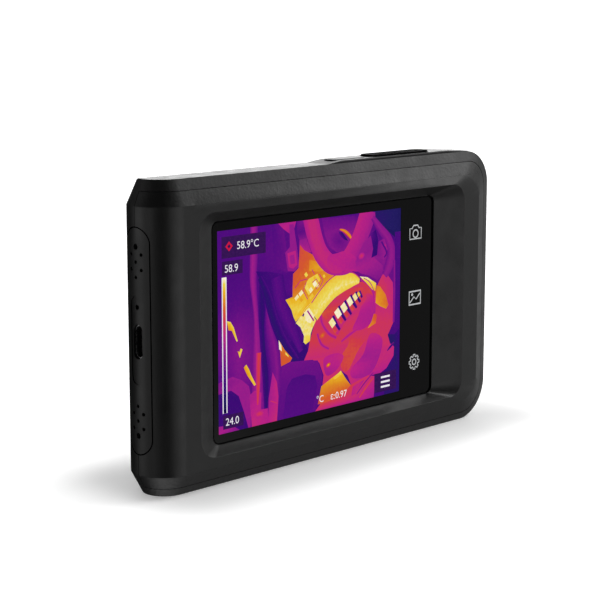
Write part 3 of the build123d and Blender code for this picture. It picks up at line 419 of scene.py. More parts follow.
class FlatArt:
    """Flat shapes painted over one another, which become one even sheet with no overlaps."""

    def __init__(self, clipped=True):
        self.limits = PICTURE_HALF if clipped else (math.inf, math.inf)
        self.points, self.cells = [], []

    def place(self, u, v, heat):
        wide, high = self.limits
        self.points.append((min(max(u, -wide), wide), min(max(v, -high), high), heat))

    def fill(self, *corners):
        """Add a cell as triangles that all turn the same way."""
        for b, c in zip(corners[1:], corners[2:]):
            (au, av, _), (bu, bv, _), (cu, cv, _) = (self.points[i] for i in (corners[0], b, c))
            turn = (bu - au) * (cv - av) - (cu - au) * (bv - av)
            if abs(turn) > LEAST:
                self.cells.append([corners[0], b, c] if turn > 0 else [corners[0], c, b])

    def polygon(self, heat, *corners, rounded=False):
        """Fill an outline; a corner may carry its own heat as a third number."""
        corners = [c if len(c) == 3 else (*c, heat) for c in corners]
        if rounded:
            corners = smooth(corners, closed=True)
        start = len(self.points)
        for corner in corners:
            self.place(*corner)
        outline = [Vector((u, v, 0)) for u, v, _ in corners]
        for triangle in tessellate_polygon([outline]):
            self.fill(*(start + i for i in triangle))

    def ribbon(self, heats, *path, steps=4, closed=False):
        """A band along a path of (u, v, half width), with a row of heats across it."""
        path = smooth(path, steps, closed) if steps > 1 else list(path)
        start, across, count = len(self.points), len(heats), len(path)
        for i, (u, v, half) in enumerate(path):
            before = path[i - 1] if closed or i > 0 else path[i]
            after = path[(i + 1) % count] if closed or i < count - 1 else path[i]
            du, dv = after[0] - before[0], after[1] - before[1]
            length = math.hypot(du, dv) or 1.0
            for k, heat in enumerate(heats):
                side = half * (2 * k / (across - 1) - 1)
                self.place(u - side * dv / length, v + side * du / length, heat)
        for i in range(count if closed else count - 1):
            here, there = start + i * across, start + (i + 1) % count * across
            for k in range(across - 1):
                self.fill(here + k, here + k + 1, there + k + 1, there + k)

    def disc(self, heat, u, v, radius, rim=None, squash=1.0, turn=0.0):
        """A round spot that fades from its middle to its rim."""
        rim = heat if rim is None else rim
        start = len(self.points)
        self.place(u, v, heat)
        for i in range(DISC_SIDES):
            angle = math.tau * i / DISC_SIDES
            a, b = radius * math.cos(angle), radius * squash * math.sin(angle)
            self.place(u + a * math.cos(turn) - b * math.sin(turn),
                       v + a * math.sin(turn) + b * math.cos(turn), rim)
        for i in range(DISC_SIDES):
            self.fill(start, start + 1 + i, start + 1 + (i + 1) % DISC_SIDES)

    def heat_at(self, cell, u, v):
        """The heat at a point of a triangle, from its corners."""
        (au, av, ah), (bu, bv, bh), (cu, cv, ch) = (self.points[i] for i in cell)
        area = (bu - au) * (cv - av) - (cu - au) * (bv - av)
        s = ((u - au) * (cv - av) - (cu - au) * (v - av)) / area
        t = ((bu - au) * (v - av) - (u - au) * (bv - av)) / area
        return min(max(ah + s * (bh - ah) + t * (ch - ah), 0.0), 1.0)

    def piece(self, name, y, material):
        """One sheet at depth y; where shapes overlap, the last one drawn shows."""
        spots = [Vector((u, v)) for u, v, _ in self.points]
        flat, _, triangles, _, _, covers = delaunay_2d_cdt(spots, [], self.cells, 1, LEAST)
        faces, heats = [], []
        for triangle, under in zip(triangles, covers):
            if under:
                a, b, c = (flat[i] for i in triangle)
                if (b - a).cross(c - a) < 0:
                    triangle = triangle[::-1]
                top = self.cells[max(under)]
                faces.append(triangle)
                heats += [self.heat_at(top, flat[i].x, flat[i].y) for i in triangle]
        mesh = bpy.data.meshes.new(name)
        mesh.from_pydata([on_screen(p.x, y, p.y) for p in flat], [], faces)
        mesh.attributes.new("warmth", "FLOAT", "CORNER").data.foreach_set("value", heats)
        piece = place_piece(name, mesh, material, "case")
        # The display's light must not colour the walls of the recess
        piece.visible_diffuse = False
        piece.visible_glossy = False


def place_piece(name, mesh, material, body):
    """Show a mesh as a piece of the object that rides on a CAD body."""
    piece = bpy.data.objects.new(name, mesh)
    scene.collection.objects.link(piece)
    mesh.materials.append(material)
    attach(piece, body)
    return piece


def background(u, v):
    """The cool background: even indigo with warmer and colder patches."""
    heat = 0.26
    for cu, cv, radius, change in (
        (-28, -4, 9, 0.15), (-26, -14, 6, 0.12), (-14, 20, 8, 0.05), (-34, -22, 8, -0.06),
        (33, -20, 8, -0.1), (34, 22, 7, -0.12), (32, 10, 6, 0.12), (24, 14, 7, 0.2),
        (6, 22, 8, 0.12),
    ):
        heat += change * math.exp(-((u - cu) ** 2 + (v - cv) ** 2) / radius**2)
    return heat


art = FlatArt()
COLUMNS, ROWS = 10, 8
for row in range(ROWS + 1):
    for column in range(COLUMNS + 1):
        u = PICTURE_HALF[0] * (2 * column / COLUMNS - 1)
        v = PICTURE_HALF[1] * (2 * row / ROWS - 1)
        art.place(u, v, background(u, v))
for row in range(ROWS):
    for column in range(COLUMNS):
        corner = row * (COLUMNS + 1) + column
        art.fill(corner, corner + 1, corner + COLUMNS + 2, corner + COLUMNS + 1)

# Cold hoses and warm pipes on the left
art.polygon(0.2, (-36, -16), (-31, -15, 0.24), (-28.5, -17), (-26.5, -22), (-25, -27), (-36, -27))
art.polygon(0.52, (-36, -24.5, 0.48), (-31, -24.8), (-28, -27, 0.4), (-36, -27))
art.polygon(0.48, (-36, -13, 0.4), (-30.5, -12), (-27, -13.5), (-24.5, -15.5), (-23, -22),
            (-22.5, -27), (-24.8, -27), (-26.4, -22), (-28.3, -17.5), (-31, -15.6),
            (-36, -16, 0.42))
art.ribbon((0.38, 0.5, 0.46, 0.36), (-22.4, 27, 1.3), (-22.6, 18, 1.4), (-22.8, 12, 1.2),
           (-21.9, 4, 0.9), (-21.4, -3, 1.4), (-21.3, -10, 1.9), (-21.3, -18, 2.2),
           (-21.5, -27, 2.6))
art.ribbon((0.24, 0.15, 0.2), (-20, 14, 0.6), (-19.7, 4, 1.3), (-19.1, -5, 1.3), (-18.3, -14, 1.3),
           (-18, -22, 1.0), (-18.2, -23.5, 0.4))
art.ribbon((0.24, 0.36, 0.42, 0.3), (-17.9, 6, 0.3), (-17.4, 0, 1.5), (-15.9, -6, 2.6),
           (-14.9, -12, 2.6), (-15, -18, 2.4), (-15.8, -27, 2.6))
art.polygon(0.56, (-17.5, -27), (-17.3, -20, 0.5), (-15.8, -13, 0.52), (-14.2, -16, 0.6),
            (-13.6, -20, 0.58), (-14.2, -27, 0.62))
art.polygon(0.55, (-24.5, -18, 0.5), (-22.4, -17), (-20, -18), (-20.2, -22.5), (-17.6, -22.6),
            (-17.4, -27), (-23.5, -27, 0.6))
art.disc(0.7, -20.8, -23.6, 1.6, 0.58, 0.5)
art.ribbon((0.58, 0.66, 0.6), (-16.6, -20.8, 0.2), (-14.2, -21.8, 0.2), steps=1)
art.ribbon((0.6, 0.71, 0.64), (-20.9, -7, 0.9), (-21.1, -12, 0.8), (-21.2, -16, 0.7),
           (-21.4, -21, 0.3))
art.polygon(0.95, (-32.3, 3), (-31, 2.6), (-29.9, 1), (-28.5, -2.8), (-28.9, -2.9),
            (-30.6, 0.2, 0.86), (-31.8, 0.5, 0.8))
art.polygon(0.93, (-28.6, -5.4, 0.85), (-27.9, -5.8), (-27.5, -4.9), (-26.8, -5.2), (-27.8, -7.4))
art.polygon(0.92, (-26.4, -10.2, 0.84), (-25.5, -9.5), (-24.5, -10.9), (-23.7, -12.6), (-22, -15.4),
            (-22.6, -15.7), (-25.2, -12.4, 0.84))

# The wide cold hose
art.polygon(0.25, (-21.8, 14.8, 0.18), (-17, 14.2, 0.22), (-9, 12.2, 0.28), (-8.2, 8.4, 0.3),
            (-8.3, 6.2), (-10.8, 5.4), (-9.4, 3), (-7.3, 0), (-5, -3.2), (-4, -5),
            (-3.8, -6.8, 0.2), (-2.6, -8, 0.18), (-2.3, -9.2, 0.18), (-3.8, -11.8, 0.18),
            (-8.6, -11.8, 0.16), (-8.6, -10.2, 0.18), (-12.4, -5.6, 0.2), (-15, -1, 0.2),
            (-17.9, 7.4, 0.18), (-19.6, 11, 0.18))
art.ribbon((0.2, 0.14, 0.17, 0.26), (-20.4, 13, 0.8), (-17.6, 7.5, 1.4), (-15, 0.5, 1.5),
           (-11.7, -5.6, 1.6), (-8.2, -10, 1.5), (-6.6, -11.6, 1.2))
art.ribbon((0.24, 0.3, 0.28, 0.22), (-14, 12.5, 2.2), (-12.6, 6, 2.4), (-9.6, 0, 2.2),
           (-6.8, -5, 1.6), (-4.9, -9, 0.9))

# Brackets along the top edge
art.polygon(0.3, (-16, 27, 0.27), (-15, 15), (-10.6, 13.2), (-9, 13.4, 0.34), (-12, 27, 0.34))
art.polygon(0.54, (-13.6, 27), (-6.8, 27), (-7.6, 24.6, 0.5), (-9.4, 23.6), (-11.6, 25, 0.58))
art.polygon(0.46, (-9.4, 26), (-7.8, 26), (-6.6, 20), (-5.6, 14.4), (-7.6, 13.2), (-10, 13.6),
            (-11, 18.6), (-9.2, 20))
art.polygon(0.57, (-10.2, 18.4), (-7, 18.8), (-6.4, 14.9), (-8, 14), (-9.6, 14.6))
art.polygon(0.5, (-9.4, 17.6), (-7.6, 17.8), (-7.2, 15.4), (-8.9, 15.2))
art.polygon(0.3, (-6.4, 27, 0.36), (-3.8, 27, 0.4), (-3, 24), (-2.8, 21.6, 0.42),
            (-5.4, 21.2, 0.44), (-6.5, 23.4))
art.polygon(0.46, (-5.6, 21.4), (-2.8, 21.8), (-1, 17.6, 0.54), (-5, 18.6, 0.6), (-5.7, 15.4, 0.5))

# Warm motor block
art.polygon(0.84, (-5.4, 20.2, 0.72), (-3.8, 18.6, 0.74), (-0.8, 17.2, 0.76), (2, 15.4, 0.8),
            (4, 13.2, 0.82), (6.5, 11.6, 0.84), (10, 10.9, 0.84), (5, 9), (1, 5, 0.88),
            (-2, 2.2, 0.9), (-4.6, 1, 0.9), (-7, -0.6, 0.92), (-7.9, 0.9, 0.92), (-8.6, 2.8, 0.93),
            (-10.9, 5.9, 0.9), (-8.2, 6.4, 0.82), (-8.2, 9, 0.76), (-8, 12.6, 0.74),
            (-5.9, 14, 0.74))
art.polygon(0.86, (-1.8, 15.8, 0.8), (2.2, 14.6), (4.4, 12), (1.4, 12.2, 0.88), (-1.8, 12.8, 0.84))
art.polygon(0.9, (-7.2, 4.8), (-5.6, 6.8), (-4.2, 7.6), (-2.2, 5.2), (-4.4, 3, 0.94),
            (-6.2, 1.8, 0.95))
art.polygon(0.93, (-3.8, 8.8), (-2, 10.6), (1.4, 11.6), (2.6, 9.8), (0.2, 7.6), (-2, 6))
for u, v, length, width, heat in (
    (-6.6, 6.0, 1.5, 1.0, 0.97), (-5.0, 7.0, 1.5, 1.1, 0.98), (-4.9, 5.2, 0.9, 1.1, 0.86),
    (-2.6, 8.0, 1.2, 1.7, 0.95), (-1.2, 7.4, 1.2, 1.2, 0.98), (0.4, 8.9, 1.3, 1.3, 0.99),
    (1.5, 8.2, 1.0, 0.9, 0.97), (-3.0, 11.8, 1.0, 1.2, 0.94), (0.3, 10.6, 0.8, 0.8, 0.9),
    (4.0, 10.6, 0.8, 0.9, 0.92), (-0.9, 5.6, 1.6, 1.0, 0.92),
):
    art.ribbon((heat, heat), (u - length * 0.4, v - length * 0.3, width / 2),
               (u + length * 0.4, v + length * 0.3, width / 2), steps=1)
for line in (
    ((-0.6, 9.4), (0.9, 10.2), (2.2, 8.6), (0.9, 7.4)), ((-2.9, 9.8), (-4.2, 7.6), (-2.4, 5.0)),
    ((2.2, 11.4), (3.6, 9.4), (2.4, 7.8)), ((-7.4, 8.6), (-5.2, 10.4), (-2.6, 10.6)),
    ((-0.8, 13), (0.2, 11.6)),
):
    art.ribbon((0.62, 0.62), *[(u, v, 0.14) for u, v in line], steps=1)

# Hot body with its grille
art.polygon(0.64, (0.8, -1.2, 0.66), (4, 0.6, 0.66), (7, 2.8), (11, 5.2), (15, 6.7),
            (18.5, 7.4, 0.72), (21.5, 7, 0.72), (25, 4.2, 0.72), (26.4, 6.4, 0.66),
            (28.2, 8.8, 0.62), (29.6, 8.6, 0.62), (32.4, 5.6, 0.6), (33, 0, 0.6), (32.8, -6, 0.66),
            (30.4, -9.4, 0.66), (31.4, -12), (33.2, -13.2, 0.6), (33, -15.8, 0.6), (30, -19, 0.56),
            (27, -20.2, 0.54), (22, -20, 0.54), (15, -21.4, 0.6), (13.6, -18.6), (11, -16.8),
            (7, -18.5), (3.4, -20.2), (3.9, -17), (2.2, -13.2), (-0.5, -12), (-3.8, -11.7, 0.62),
            (-2.2, -9.2, 0.66), (-1.6, -6.8, 0.7), (-0.4, -3.6, 0.68))
art.polygon(0.7, (14, -6, 0.66), (19, -4.6, 0.68), (22, -8, 0.66), (18, -12, 0.72), (14, -17, 0.72),
            (11.4, -16.6, 0.7), (10.8, -13, 0.72), (14, -9.6, 0.72), rounded=True)
art.polygon(0.54, (23, -8, 0.6), (28, -10, 0.56), (27, -15, 0.5), (23, -19.6, 0.5),
            (16, -19.8, 0.52), (15, -17, 0.58), (20, -13.6, 0.5), rounded=True)
art.polygon(0.5, (4, -12.4, 0.56), (9, -11.6, 0.56), (12, -13, 0.6), (9, -16.4, 0.54),
            (5, -17.2, 0.5), rounded=True)
art.polygon(0.56, (21, 3.6, 0.66), (24.6, 1.8), (24.8, -3, 0.52), (21, -6, 0.54), (15.6, -6, 0.58),
            (18, -2, 0.54), rounded=True)
art.ribbon((0.62, 0.5, 0.62), (2.6, 0.2, 0.5), (3.4, -2.6, 0.5), (6, -5.6, 0.5), (9, -7.2, 0.5))
art.ribbon((0.64, 0.48, 0.62), (1.4, -5, 0.4), (3, -8.2, 0.5), (6, -9.9, 0.4))
art.ribbon((0.62, 0.52, 0.62), (11, -8.6, 0.3), (14, -7.2, 0.5), (18, -5.8, 0.3))
art.ribbon((0.6, 0.5, 0.62), (18.8, 8, 0.3), (22.2, 6, 0.4), (24.4, 2.6, 0.4), (23.6, -2, 0.3))
art.polygon(0.68, (3, 0.2, 0.74), (7, 3.2, 0.66), (12, 5.8), (17, 6.6, 0.62), (19.6, 5.6, 0.72),
            (21.4, 2.2, 0.66), (18, -0.6, 0.62), (12, -3.6, 0.6), (9.6, -6.6, 0.6), (6, -3.6, 0.64))
for u, v, tilt, size, heat in (
    (7.4, -2.8, 0.1, 1.3, 0.97), (9.7, -0.4, 0.15, 1.35, 0.99), (12.1, 0.9, 0.15, 1.3, 0.98),
    (14.5, 2.3, 0.2, 1.2, 0.98), (16.6, 3.3, 0.2, 0.95, 0.97), (18.1, 3.9, 0.3, 0.6, 0.93),
):
    lean = 0.62 + tilt
    art.ribbon((0.3, 0.14, 0.4), (u + size * 0.2, v + size * 1.5, 0.5), (u + size * 0.9, v, 0.62),
               (u + size * 2.3, v - size * 1.8, 0.4))
    art.ribbon((heat, heat), (u - size * 0.62, v + size * lean, size * 0.74),
               (u + size * 0.5, v - size * lean, size * 0.74), steps=1)
    art.ribbon((0.74, 0.68), (u + size * 0.35, v - size * 0.95, size * 0.55),
               (u + size * 1.2, v - size * 2.1, size * 0.45), steps=1)
art.disc(0.92, 5.8, -14.4, 1.0, 0.66, 0.6, 0.4)
art.disc(0.8, 3.4, -5.8, 1.4, 0.68, 0.7, 0.3)

# The bright belt
art.ribbon((0.93, 0.96, 0.94, 0.91), (-0.6, 0.9, 2.9), (3, 4, 2.9), (7.2, 6.7, 2.9), (11.6, 8, 2.6),
           (15.4, 8.2, 1.9), (18.3, 7.6, 0.6))
art.polygon(0.96, (-2.6, 3.4, 0.93), (0.9, -1.2, 0.95), (-0.6, -3.4), (-1.2, -4.6),
            (-1.5, -6.6, 0.92), (-3.2, -7.3, 0.93), (-4, -6.6), (-3.8, -4.9), (-5.2, -2.3),
            (-7, -0.9), (-4.9, 0.9), (-4, 0.4))
art.polygon(0.98, (-3.8, 1.6), (-1.8, 2.6), (0.2, 0), (-1.4, -1.8), (-3.4, -0.6))
art.ribbon((0.5, 0.5), (-2.5, 1.9, 0.24), (0, -1.2, 0.24), steps=1)
art.ribbon((0.6, 0.6), (-0.9, 3.8, 0.16), (3, 7.3, 0.16), (7.2, 9.9, 0.16), (11.6, 10.9, 0.16),
           (15.6, 10.3, 0.14), (18.6, 8.4, 0.1))
art.ribbon((0.74, 0.98, 0.8), (-4.8, 0.6, 0.1), (-3.4, 2.4, 0.25), (-1.6, 3.6, 0.2))
art.polygon(0.95, (18.4, 8.9, 0.98), (21.6, 8.3, 0.98), (25.3, 6.2, 0.94), (25, 4, 0.88),
            (23.6, 4.6, 0.9), (21, 6.9, 0.92))
art.ribbon((0.5, 0.5), (20, 8.3, 0.1), (22.8, 6.6, 0.14), (24.9, 3.2, 0.1))
art.polygon(0.82, (25.4, 5.6, 0.78), (27, 5, 0.82), (29.4, 2.4, 0.8), (30.6, -0.6, 0.76),
            (29.6, -1.7, 0.82), (27, -0.6, 0.86), (25.1, 0.6, 0.86))
art.polygon(0.8, (21.9, -6.3, 0.86), (23.4, -4.6), (24.4, -2.4, 0.76), (25.9, -2.9, 0.7),
            (25.2, -5.3, 0.78))
art.ribbon((0.48, 0.54), (28, 9, 0.2), (29, 9.6, 0.5), (29.3, 7.6, 0.3))

# Pipes across the top
art.polygon(0.4, (3, 27, 0.34), (4.2, 22, 0.42), (6, 18.4), (9, 16.6), (12, 17), (15.2, 20.6, 0.44),
            (17.6, 24, 0.38), (18.4, 27, 0.26))
art.disc(0.33, 10, 19.8, 4.4, 0.42, 0.72, -0.5)
art.polygon(0.25, (6, 27), (16.8, 27), (16, 25.6, 0.34), (8, 26, 0.36))
art.polygon(0.12, (9.6, 22.4, 0.3), (11.2, 22), (12.6, 20.6), (13.6, 19.4), (12.2, 19.8, 0.2),
            (10.4, 21, 0.3))
art.ribbon((0.7, 0.86, 0.74), (10.2, 22.9, 0.2), (12.2, 22.2, 0.5), (14, 20.9, 0.55),
           (15.1, 19.6, 0.3))
art.ribbon((0.52, 0.6, 0.6, 0.56), (-1.4, 27.6, 2.9), (0.1, 22.4, 2.8), (2.6, 17.2, 2.7),
           (6.6, 13.6, 2.7), (11.6, 12.6, 2.6), (15, 13, 2.4))
art.ribbon((0.58, 0.56, 0.53, 0.48), (22.2, 27.6, 3.4), (19.8, 22.4, 3.2), (17, 18, 3),
           (14, 14.8, 2.8), (10.4, 13, 2.4))
art.polygon(0.57, (5.4, 15.8, 0.56), (9, 16.4), (12.4, 16.6), (16, 15, 0.56), (19, 12, 0.5),
            (17.6, 10.4, 0.54), (13, 11.2, 0.58), (9, 10.9, 0.6), (6, 12, 0.6), rounded=True)
art.polygon(0.47, (16.6, 13.4), (20, 18.4), (23, 20), (24.6, 17, 0.44), (24.6, 13.4, 0.5),
            (28, 11, 0.46), (28.2, 8.4, 0.42), (25.8, 7, 0.4), (22, 8.8, 0.44), (19, 9.6, 0.48),
            (17, 10.8, 0.52))
art.polygon(0.17, (22.8, 20.4, 0.3), (25, 21.4), (26, 18.4), (25.6, 14.2), (23.2, 13.6, 0.22),
            (23.9, 16.2))
art.polygon(0.08, (24.6, 27, 0.12), (36, 27), (36, 19), (33.6, 18.2), (31, 20), (27.4, 22),
            (24.8, 24.4, 0.14))
art.ribbon((0.36, 0.47, 0.42), (23.6, 25, 0.8), (27, 21.4, 1.3), (30, 18.4, 1.6), (31.6, 14.6, 1.7),
           (30.6, 10.6, 1.8), (28.8, 8, 1.2))
art.polygon(0.4, (25.8, 14.2), (26.2, 18), (28.6, 18.6, 0.46), (30, 15.4, 0.5), (28.4, 12.4, 0.46))
art.disc(0.68, 19.1, 14.6, 1.3, 0.52, 0.7, 0.3)
art.disc(0.6, 28.8, 16.4, 0.8, 0.46)
art.ribbon((0.3, 0.26), (27.4, 17.8, 0.3), (29.6, 14.6, 0.3), (28.6, 13.2, 0.2))

# Below the body
art.polygon(0.77, (-13.4, -4.7, 0.8), (-11.2, -7.7, 0.8), (-8.4, -10.3), (-9.1, -11.2, 0.76),
            (-12.6, -12, 0.74), (-12.9, -8.4, 0.76))
art.polygon(0.99, (-13.5, -4.7), (-12.5, -6.2), (-12.3, -7.9), (-13.3, -7.2))
art.polygon(0.95, (-11, -8.2), (-9.8, -9.4), (-9.7, -9.9), (-10.9, -9))
art.polygon(0.3, (-12.4, -12.2, 0.36), (-8.8, -11.3, 0.37), (-3.8, -11.7, 0.36), (1.6, -12.5, 0.35),
            (3.5, -16.8, 0.33), (2.9, -19.8, 0.3), (0.8, -27, 0.3), (-14.2, -27, 0.3),
            (-13, -18, 0.32))
art.polygon(0.26, (-10.4, -18, 0.27), (-8.4, -16, 0.25), (-3.4, -15.6, 0.25), (0.6, -16.6, 0.25),
            (1.4, -19.4, 0.27), (-0.6, -27, 0.28), (-12, -27, 0.28))
art.ribbon((0.3, 0.36), (-10.6, -18.4, 0.14), (-8.6, -16, 0.16), (-3.4, -15.5, 0.16),
           (0.6, -16.5, 0.14))
art.polygon(0.68, (12.8, -22, 0.74), (16, -21.2), (22, -19.9, 0.66), (25.4, -20.6, 0.6),
            (24.6, -27, 0.5), (0.6, -27, 0.6), (3, -24.6, 0.74))
art.polygon(0.87, (3, -20, 0.84), (7, -18.4, 0.88), (11, -16.9, 0.9), (12.9, -19.4, 0.86),
            (14.9, -21.5, 0.78), (12, -23.4, 0.76), (6, -24.6, 0.78), (1.6, -24.9, 0.74))
art.polygon(0.96, (7.6, -18.4, 0.9), (10.9, -16.8), (11.2, -17.9, 0.92), (8.4, -18.9, 0.93))
art.polygon(0.56, (15.8, -22.2), (18.6, -21.4, 0.6), (20.6, -20.9, 0.5), (17.2, -24.4, 0.6),
            (15.2, -24.8))
art.ribbon((0.5, 0.34, 0.5), (17.4, -24.6, 0.14), (20.8, -21.8, 0.22), (24.4, -19.4, 0.14))
art.ribbon((0.6, 0.72, 0.62), (18.6, -25.8, 0.3), (21.4, -23.2, 0.5), (24.4, -21, 0.3))

# Cold edge on the right
art.polygon(0.14, (30.4, -9.2, 0.12), (33.4, -9.6), (36, -8, 0.2), (36, -27, 0.14), (29, -27),
            (29.6, -19.6), (33.2, -16.6), (33.3, -12.9, 0.1), (31.6, -11.8, 0.1))
art.ribbon((0.42, 0.08, 0.5), (30.2, -14, 0.1), (31.6, -13, 0.4), (33.2, -12, 0.2))
art.polygon(0.26, (33.1, 20, 0.24), (36, 20), (36, -8, 0.24), (33.4, -8, 0.26))
art.ribbon((0.34, 0.46, 0.36), (33, 12, 0.4), (33.1, 2, 0.5), (32.9, -6, 0.4), steps=1)
art.piece("display_picture", PICTURE_Y, heat_glow)

# ---- Labels, colour scale, readings and icons on the display ----
labels = FlatArt()
for left, right, low, high in (
    (-34.0, -18.2, 19.4, 25.0), (-33.9, -26.6, 15.0, 18.6),
    (24.8, 34.2, -25.6, -20.0), (-33.9, -26.6, -25.6, -21.9),
):
    labels.polygon(0, (left, low), (right, low), (right, high), (left, high))
labels.piece("display_labels", LABEL_Y, label_glow)

scale = FlatArt()
SCALE_LEFT, SCALE_RIGHT, SCALE_LOW, SCALE_HIGH = -33.9, -32.55, -21.3, 14.5
scale.polygon(0, (SCALE_LEFT, SCALE_LOW, 0), (SCALE_RIGHT, SCALE_LOW, 0),
              (SCALE_RIGHT, SCALE_HIGH, 1), (SCALE_LEFT, SCALE_HIGH, 1))
scale.piece("display_scale", SCALE_Y, heat_glow)


def box_path(left, right, low, high, half):
    """A closed outline of (u, v, half width)."""
    return [(left, low, half), (right, low, half), (right, high, half), (left, high, half)]


def ring_path(u, v, radius, half, count=24):
    """A closed circle of (u, v, half width)."""
    turns = [math.tau * i / count for i in range(count)]
    return [(u + radius * math.cos(t), v + radius * math.sin(t), half) for t in turns]


# The frame of the colour scale and the three bars of the menu mark
marks = FlatArt()
MITRE = math.sqrt(2)
MENU_LEFT, MENU_RIGHT, MENU_TOP, MENU_STEP, MENU_HALF = 27.6, 31.4, -21.4, 1.4, 0.28
marks.ribbon((0, 0), *box_path(SCALE_LEFT, SCALE_RIGHT, SCALE_LOW, SCALE_HIGH, 0.12 * MITRE),
             steps=1, closed=True)
for bar in range(3):
    height = MENU_TOP - MENU_STEP * bar
    marks.ribbon((0, 0), (MENU_LEFT, height, MENU_HALF), (MENU_RIGHT, height, MENU_HALF), steps=1)


DIGIT_HEIGHT = 0.7  # of the built-in font, for a size of 1


def text_piece(name, *lines):
    """Readings in the plain built-in font, as one flat mesh: (text, left, low, height)."""
    whole = bmesh.new()
    for body, left, low, height in lines:
        font = bpy.data.curves.new(name, "FONT")
        font.body = body
        font.size = height / DIGIT_HEIGHT
        font.resolution_u = 4
        holder = bpy.data.objects.new(name, font)
        flat = bpy.data.meshes.new_from_object(holder)
        for vertex in flat.vertices:
            vertex.co = on_screen(left + vertex.co.x, READING_Y, low + vertex.co.y)
        whole.from_mesh(flat)
        bpy.data.objects.remove(holder)
        bpy.data.meshes.remove(flat)
    for face in whole.faces:
        if face.normal.y > 0:
            face.normal_flip()
    mesh = bpy.data.meshes.new(name)
    whole.to_mesh(mesh)
    whole.free()
    place_piece(name, mesh, text_glow, "case")


text_piece("display_readings", ("58.9°C", -28.7, 21.4, 2.0), ("58.9", -33.1, 15.7, 2.0),
           ("24.0", -33.1, -24.7, 2.0), ("°C", 1.0, -24.4, 1.9), ("ε:0.97", 6.6, -24.4, 1.9))
marks.piece("display_marks", READING_Y, text_glow)

marker = FlatArt()
MARKER_U, MARKER_V, MARKER_REACH = -31.4, 22.4, 0.95
marker.ribbon((0, 0), *[
    (MARKER_U + MARKER_REACH * a, MARKER_V + MARKER_REACH * b, 0.36)
    for a, b in ((1, 0), (0, 1), (-1, 0), (0, -1))
], steps=1, closed=True)
marker.piece("display_marker", READING_Y, marker_glow)

# Three touch keys in a column: a camera at the top, a picture in the middle, a gear below
icons = FlatArt(clipped=False)
ICON_U, ICON_STEP = 42.0, 19.0
LINE = 0.19


def outline(*points):
    """A closed line through (u, v) points round the middle of the icon column."""
    icons.ribbon((0, 0), *[(ICON_U + a, b, LINE) for a, b in points], steps=1, closed=True)


outline(*[(a, ICON_STEP + b) for a, b in (
    (-2.5, -1.8), (2.5, -1.8), (2.5, 1.3), (1.5, 1.3),
    (0.9, 2.1), (-0.9, 2.1), (-1.5, 1.3), (-2.5, 1.3),
)])
icons.ribbon((0, 0), *ring_path(ICON_U, ICON_STEP - 0.3, 1.1, LINE), steps=1, closed=True)
icons.ribbon((0, 0), *box_path(ICON_U - 2.5, ICON_U + 2.5, -1.9, 1.9, LINE * MITRE), steps=1,
             closed=True)
icons.ribbon((0, 0), (ICON_U - 2.2, -1.3, LINE), (ICON_U - 0.4, 0.3, LINE),
             (ICON_U + 0.5, -0.5, LINE), (ICON_U + 2.2, 1.1, LINE), steps=1)
icons.disc(0, ICON_U - 1.2, 1.0, 0.42)
TEETH, GEAR_FOOT, GEAR_TIP = 8, 1.65, 2.2
gear = []
for tooth in range(TEETH):
    for turn, reach in ((-0.28, GEAR_FOOT), (-0.17, GEAR_TIP), (0.17, GEAR_TIP), (0.28, GEAR_FOOT)):
        angle = math.tau * tooth / TEETH + turn
        gear.append((reach * math.cos(angle), -ICON_STEP + reach * math.sin(angle)))
outline(*gear)
icons.ribbon((0, 0), *ring_path(ICON_U, -ICON_STEP, 0.8, LINE), steps=1, closed=True)
icons.piece("touch_key_icons", ICON_Y, icon_glow)

# ---- Case shells with the soft edges of the mouldings ----
# Where the rounded edges lie, in millimetres: up to FACE_DEPTH behind the screen face, on the
# back, right end, top and foot, and where the flat sides meet the sloping bands
FACE_Y, BACK_Y, RIGHT_X, TOP_Z, FOOT_Z = -12.15, 9.35, 69.0, 84.2, 0.0
FACE_DEPTH = 0.95
SLOPE_TOP, SLOPE_FOOT = 77.3, 5.9
NEAR = 0.05
# The round left end, in metres, and how far off it a corner or a face may be
BARREL_AXIS = (-59.85 * MM, -3 * MM)
BARREL_RADIUS = 9.15 * MM
BARREL_GAP, BARREL_TILT = 0.03 * MM, math.radians(12)
CREASE = math.radians(30)  # faces that meet at less than this share a normal
MERGE = 0.002 * MM
FLAT = math.radians(0.3)
LEAST_ANGLE = 12  # degrees between the faces of an edge that is rounded
EDGE_STEPS = 3


def outer_edge(a, b):
    """True if an edge, given by its ends in millimetres, is a moulded outer edge of the case."""
    return (
        max(a.y, b.y) < FACE_Y + FACE_DEPTH
        or min(a.y, b.y) > BACK_Y - NEAR
        or min(a.z, b.z) > TOP_Z - NEAR
        or max(a.z, b.z) < FOOT_Z + NEAR
        or all(abs(p.z - SLOPE_TOP) < NEAR or abs(p.z - SLOPE_FOOT) < NEAR for p in (a, b))
        or all(p.x > RIGHT_X - NEAR for p in (a, b))
    )


def even_normals(mesh):
    """A normal for each face corner: large faces stay flat, and the barrel is a true cylinder."""
    around = [[] for _ in mesh.vertices]
    for face in mesh.polygons:
        for vertex in face.vertices:
            around[vertex].append((face.normal.copy(), face.area))
    least = math.cos(CREASE)
    normals = []
    for face in mesh.polygons:
        for vertex in face.vertices:
            spot = mesh.vertices[vertex].co
            out = Vector((spot.x - BARREL_AXIS[0], spot.y - BARREL_AXIS[1], 0))
            on_barrel = abs(out.length - BARREL_RADIUS) < BARREL_GAP
            # A face with no area has no angle, and counts as turned away
            if on_barrel and face.normal.angle(out, math.pi) < BARREL_TILT:
                normals.append(out.normalized())
                continue
            total = Vector()
            for normal, area in around[vertex]:
                if normal.dot(face.normal) > least:
                    total += normal * area
            normals.append(total.normalized())
    return normals


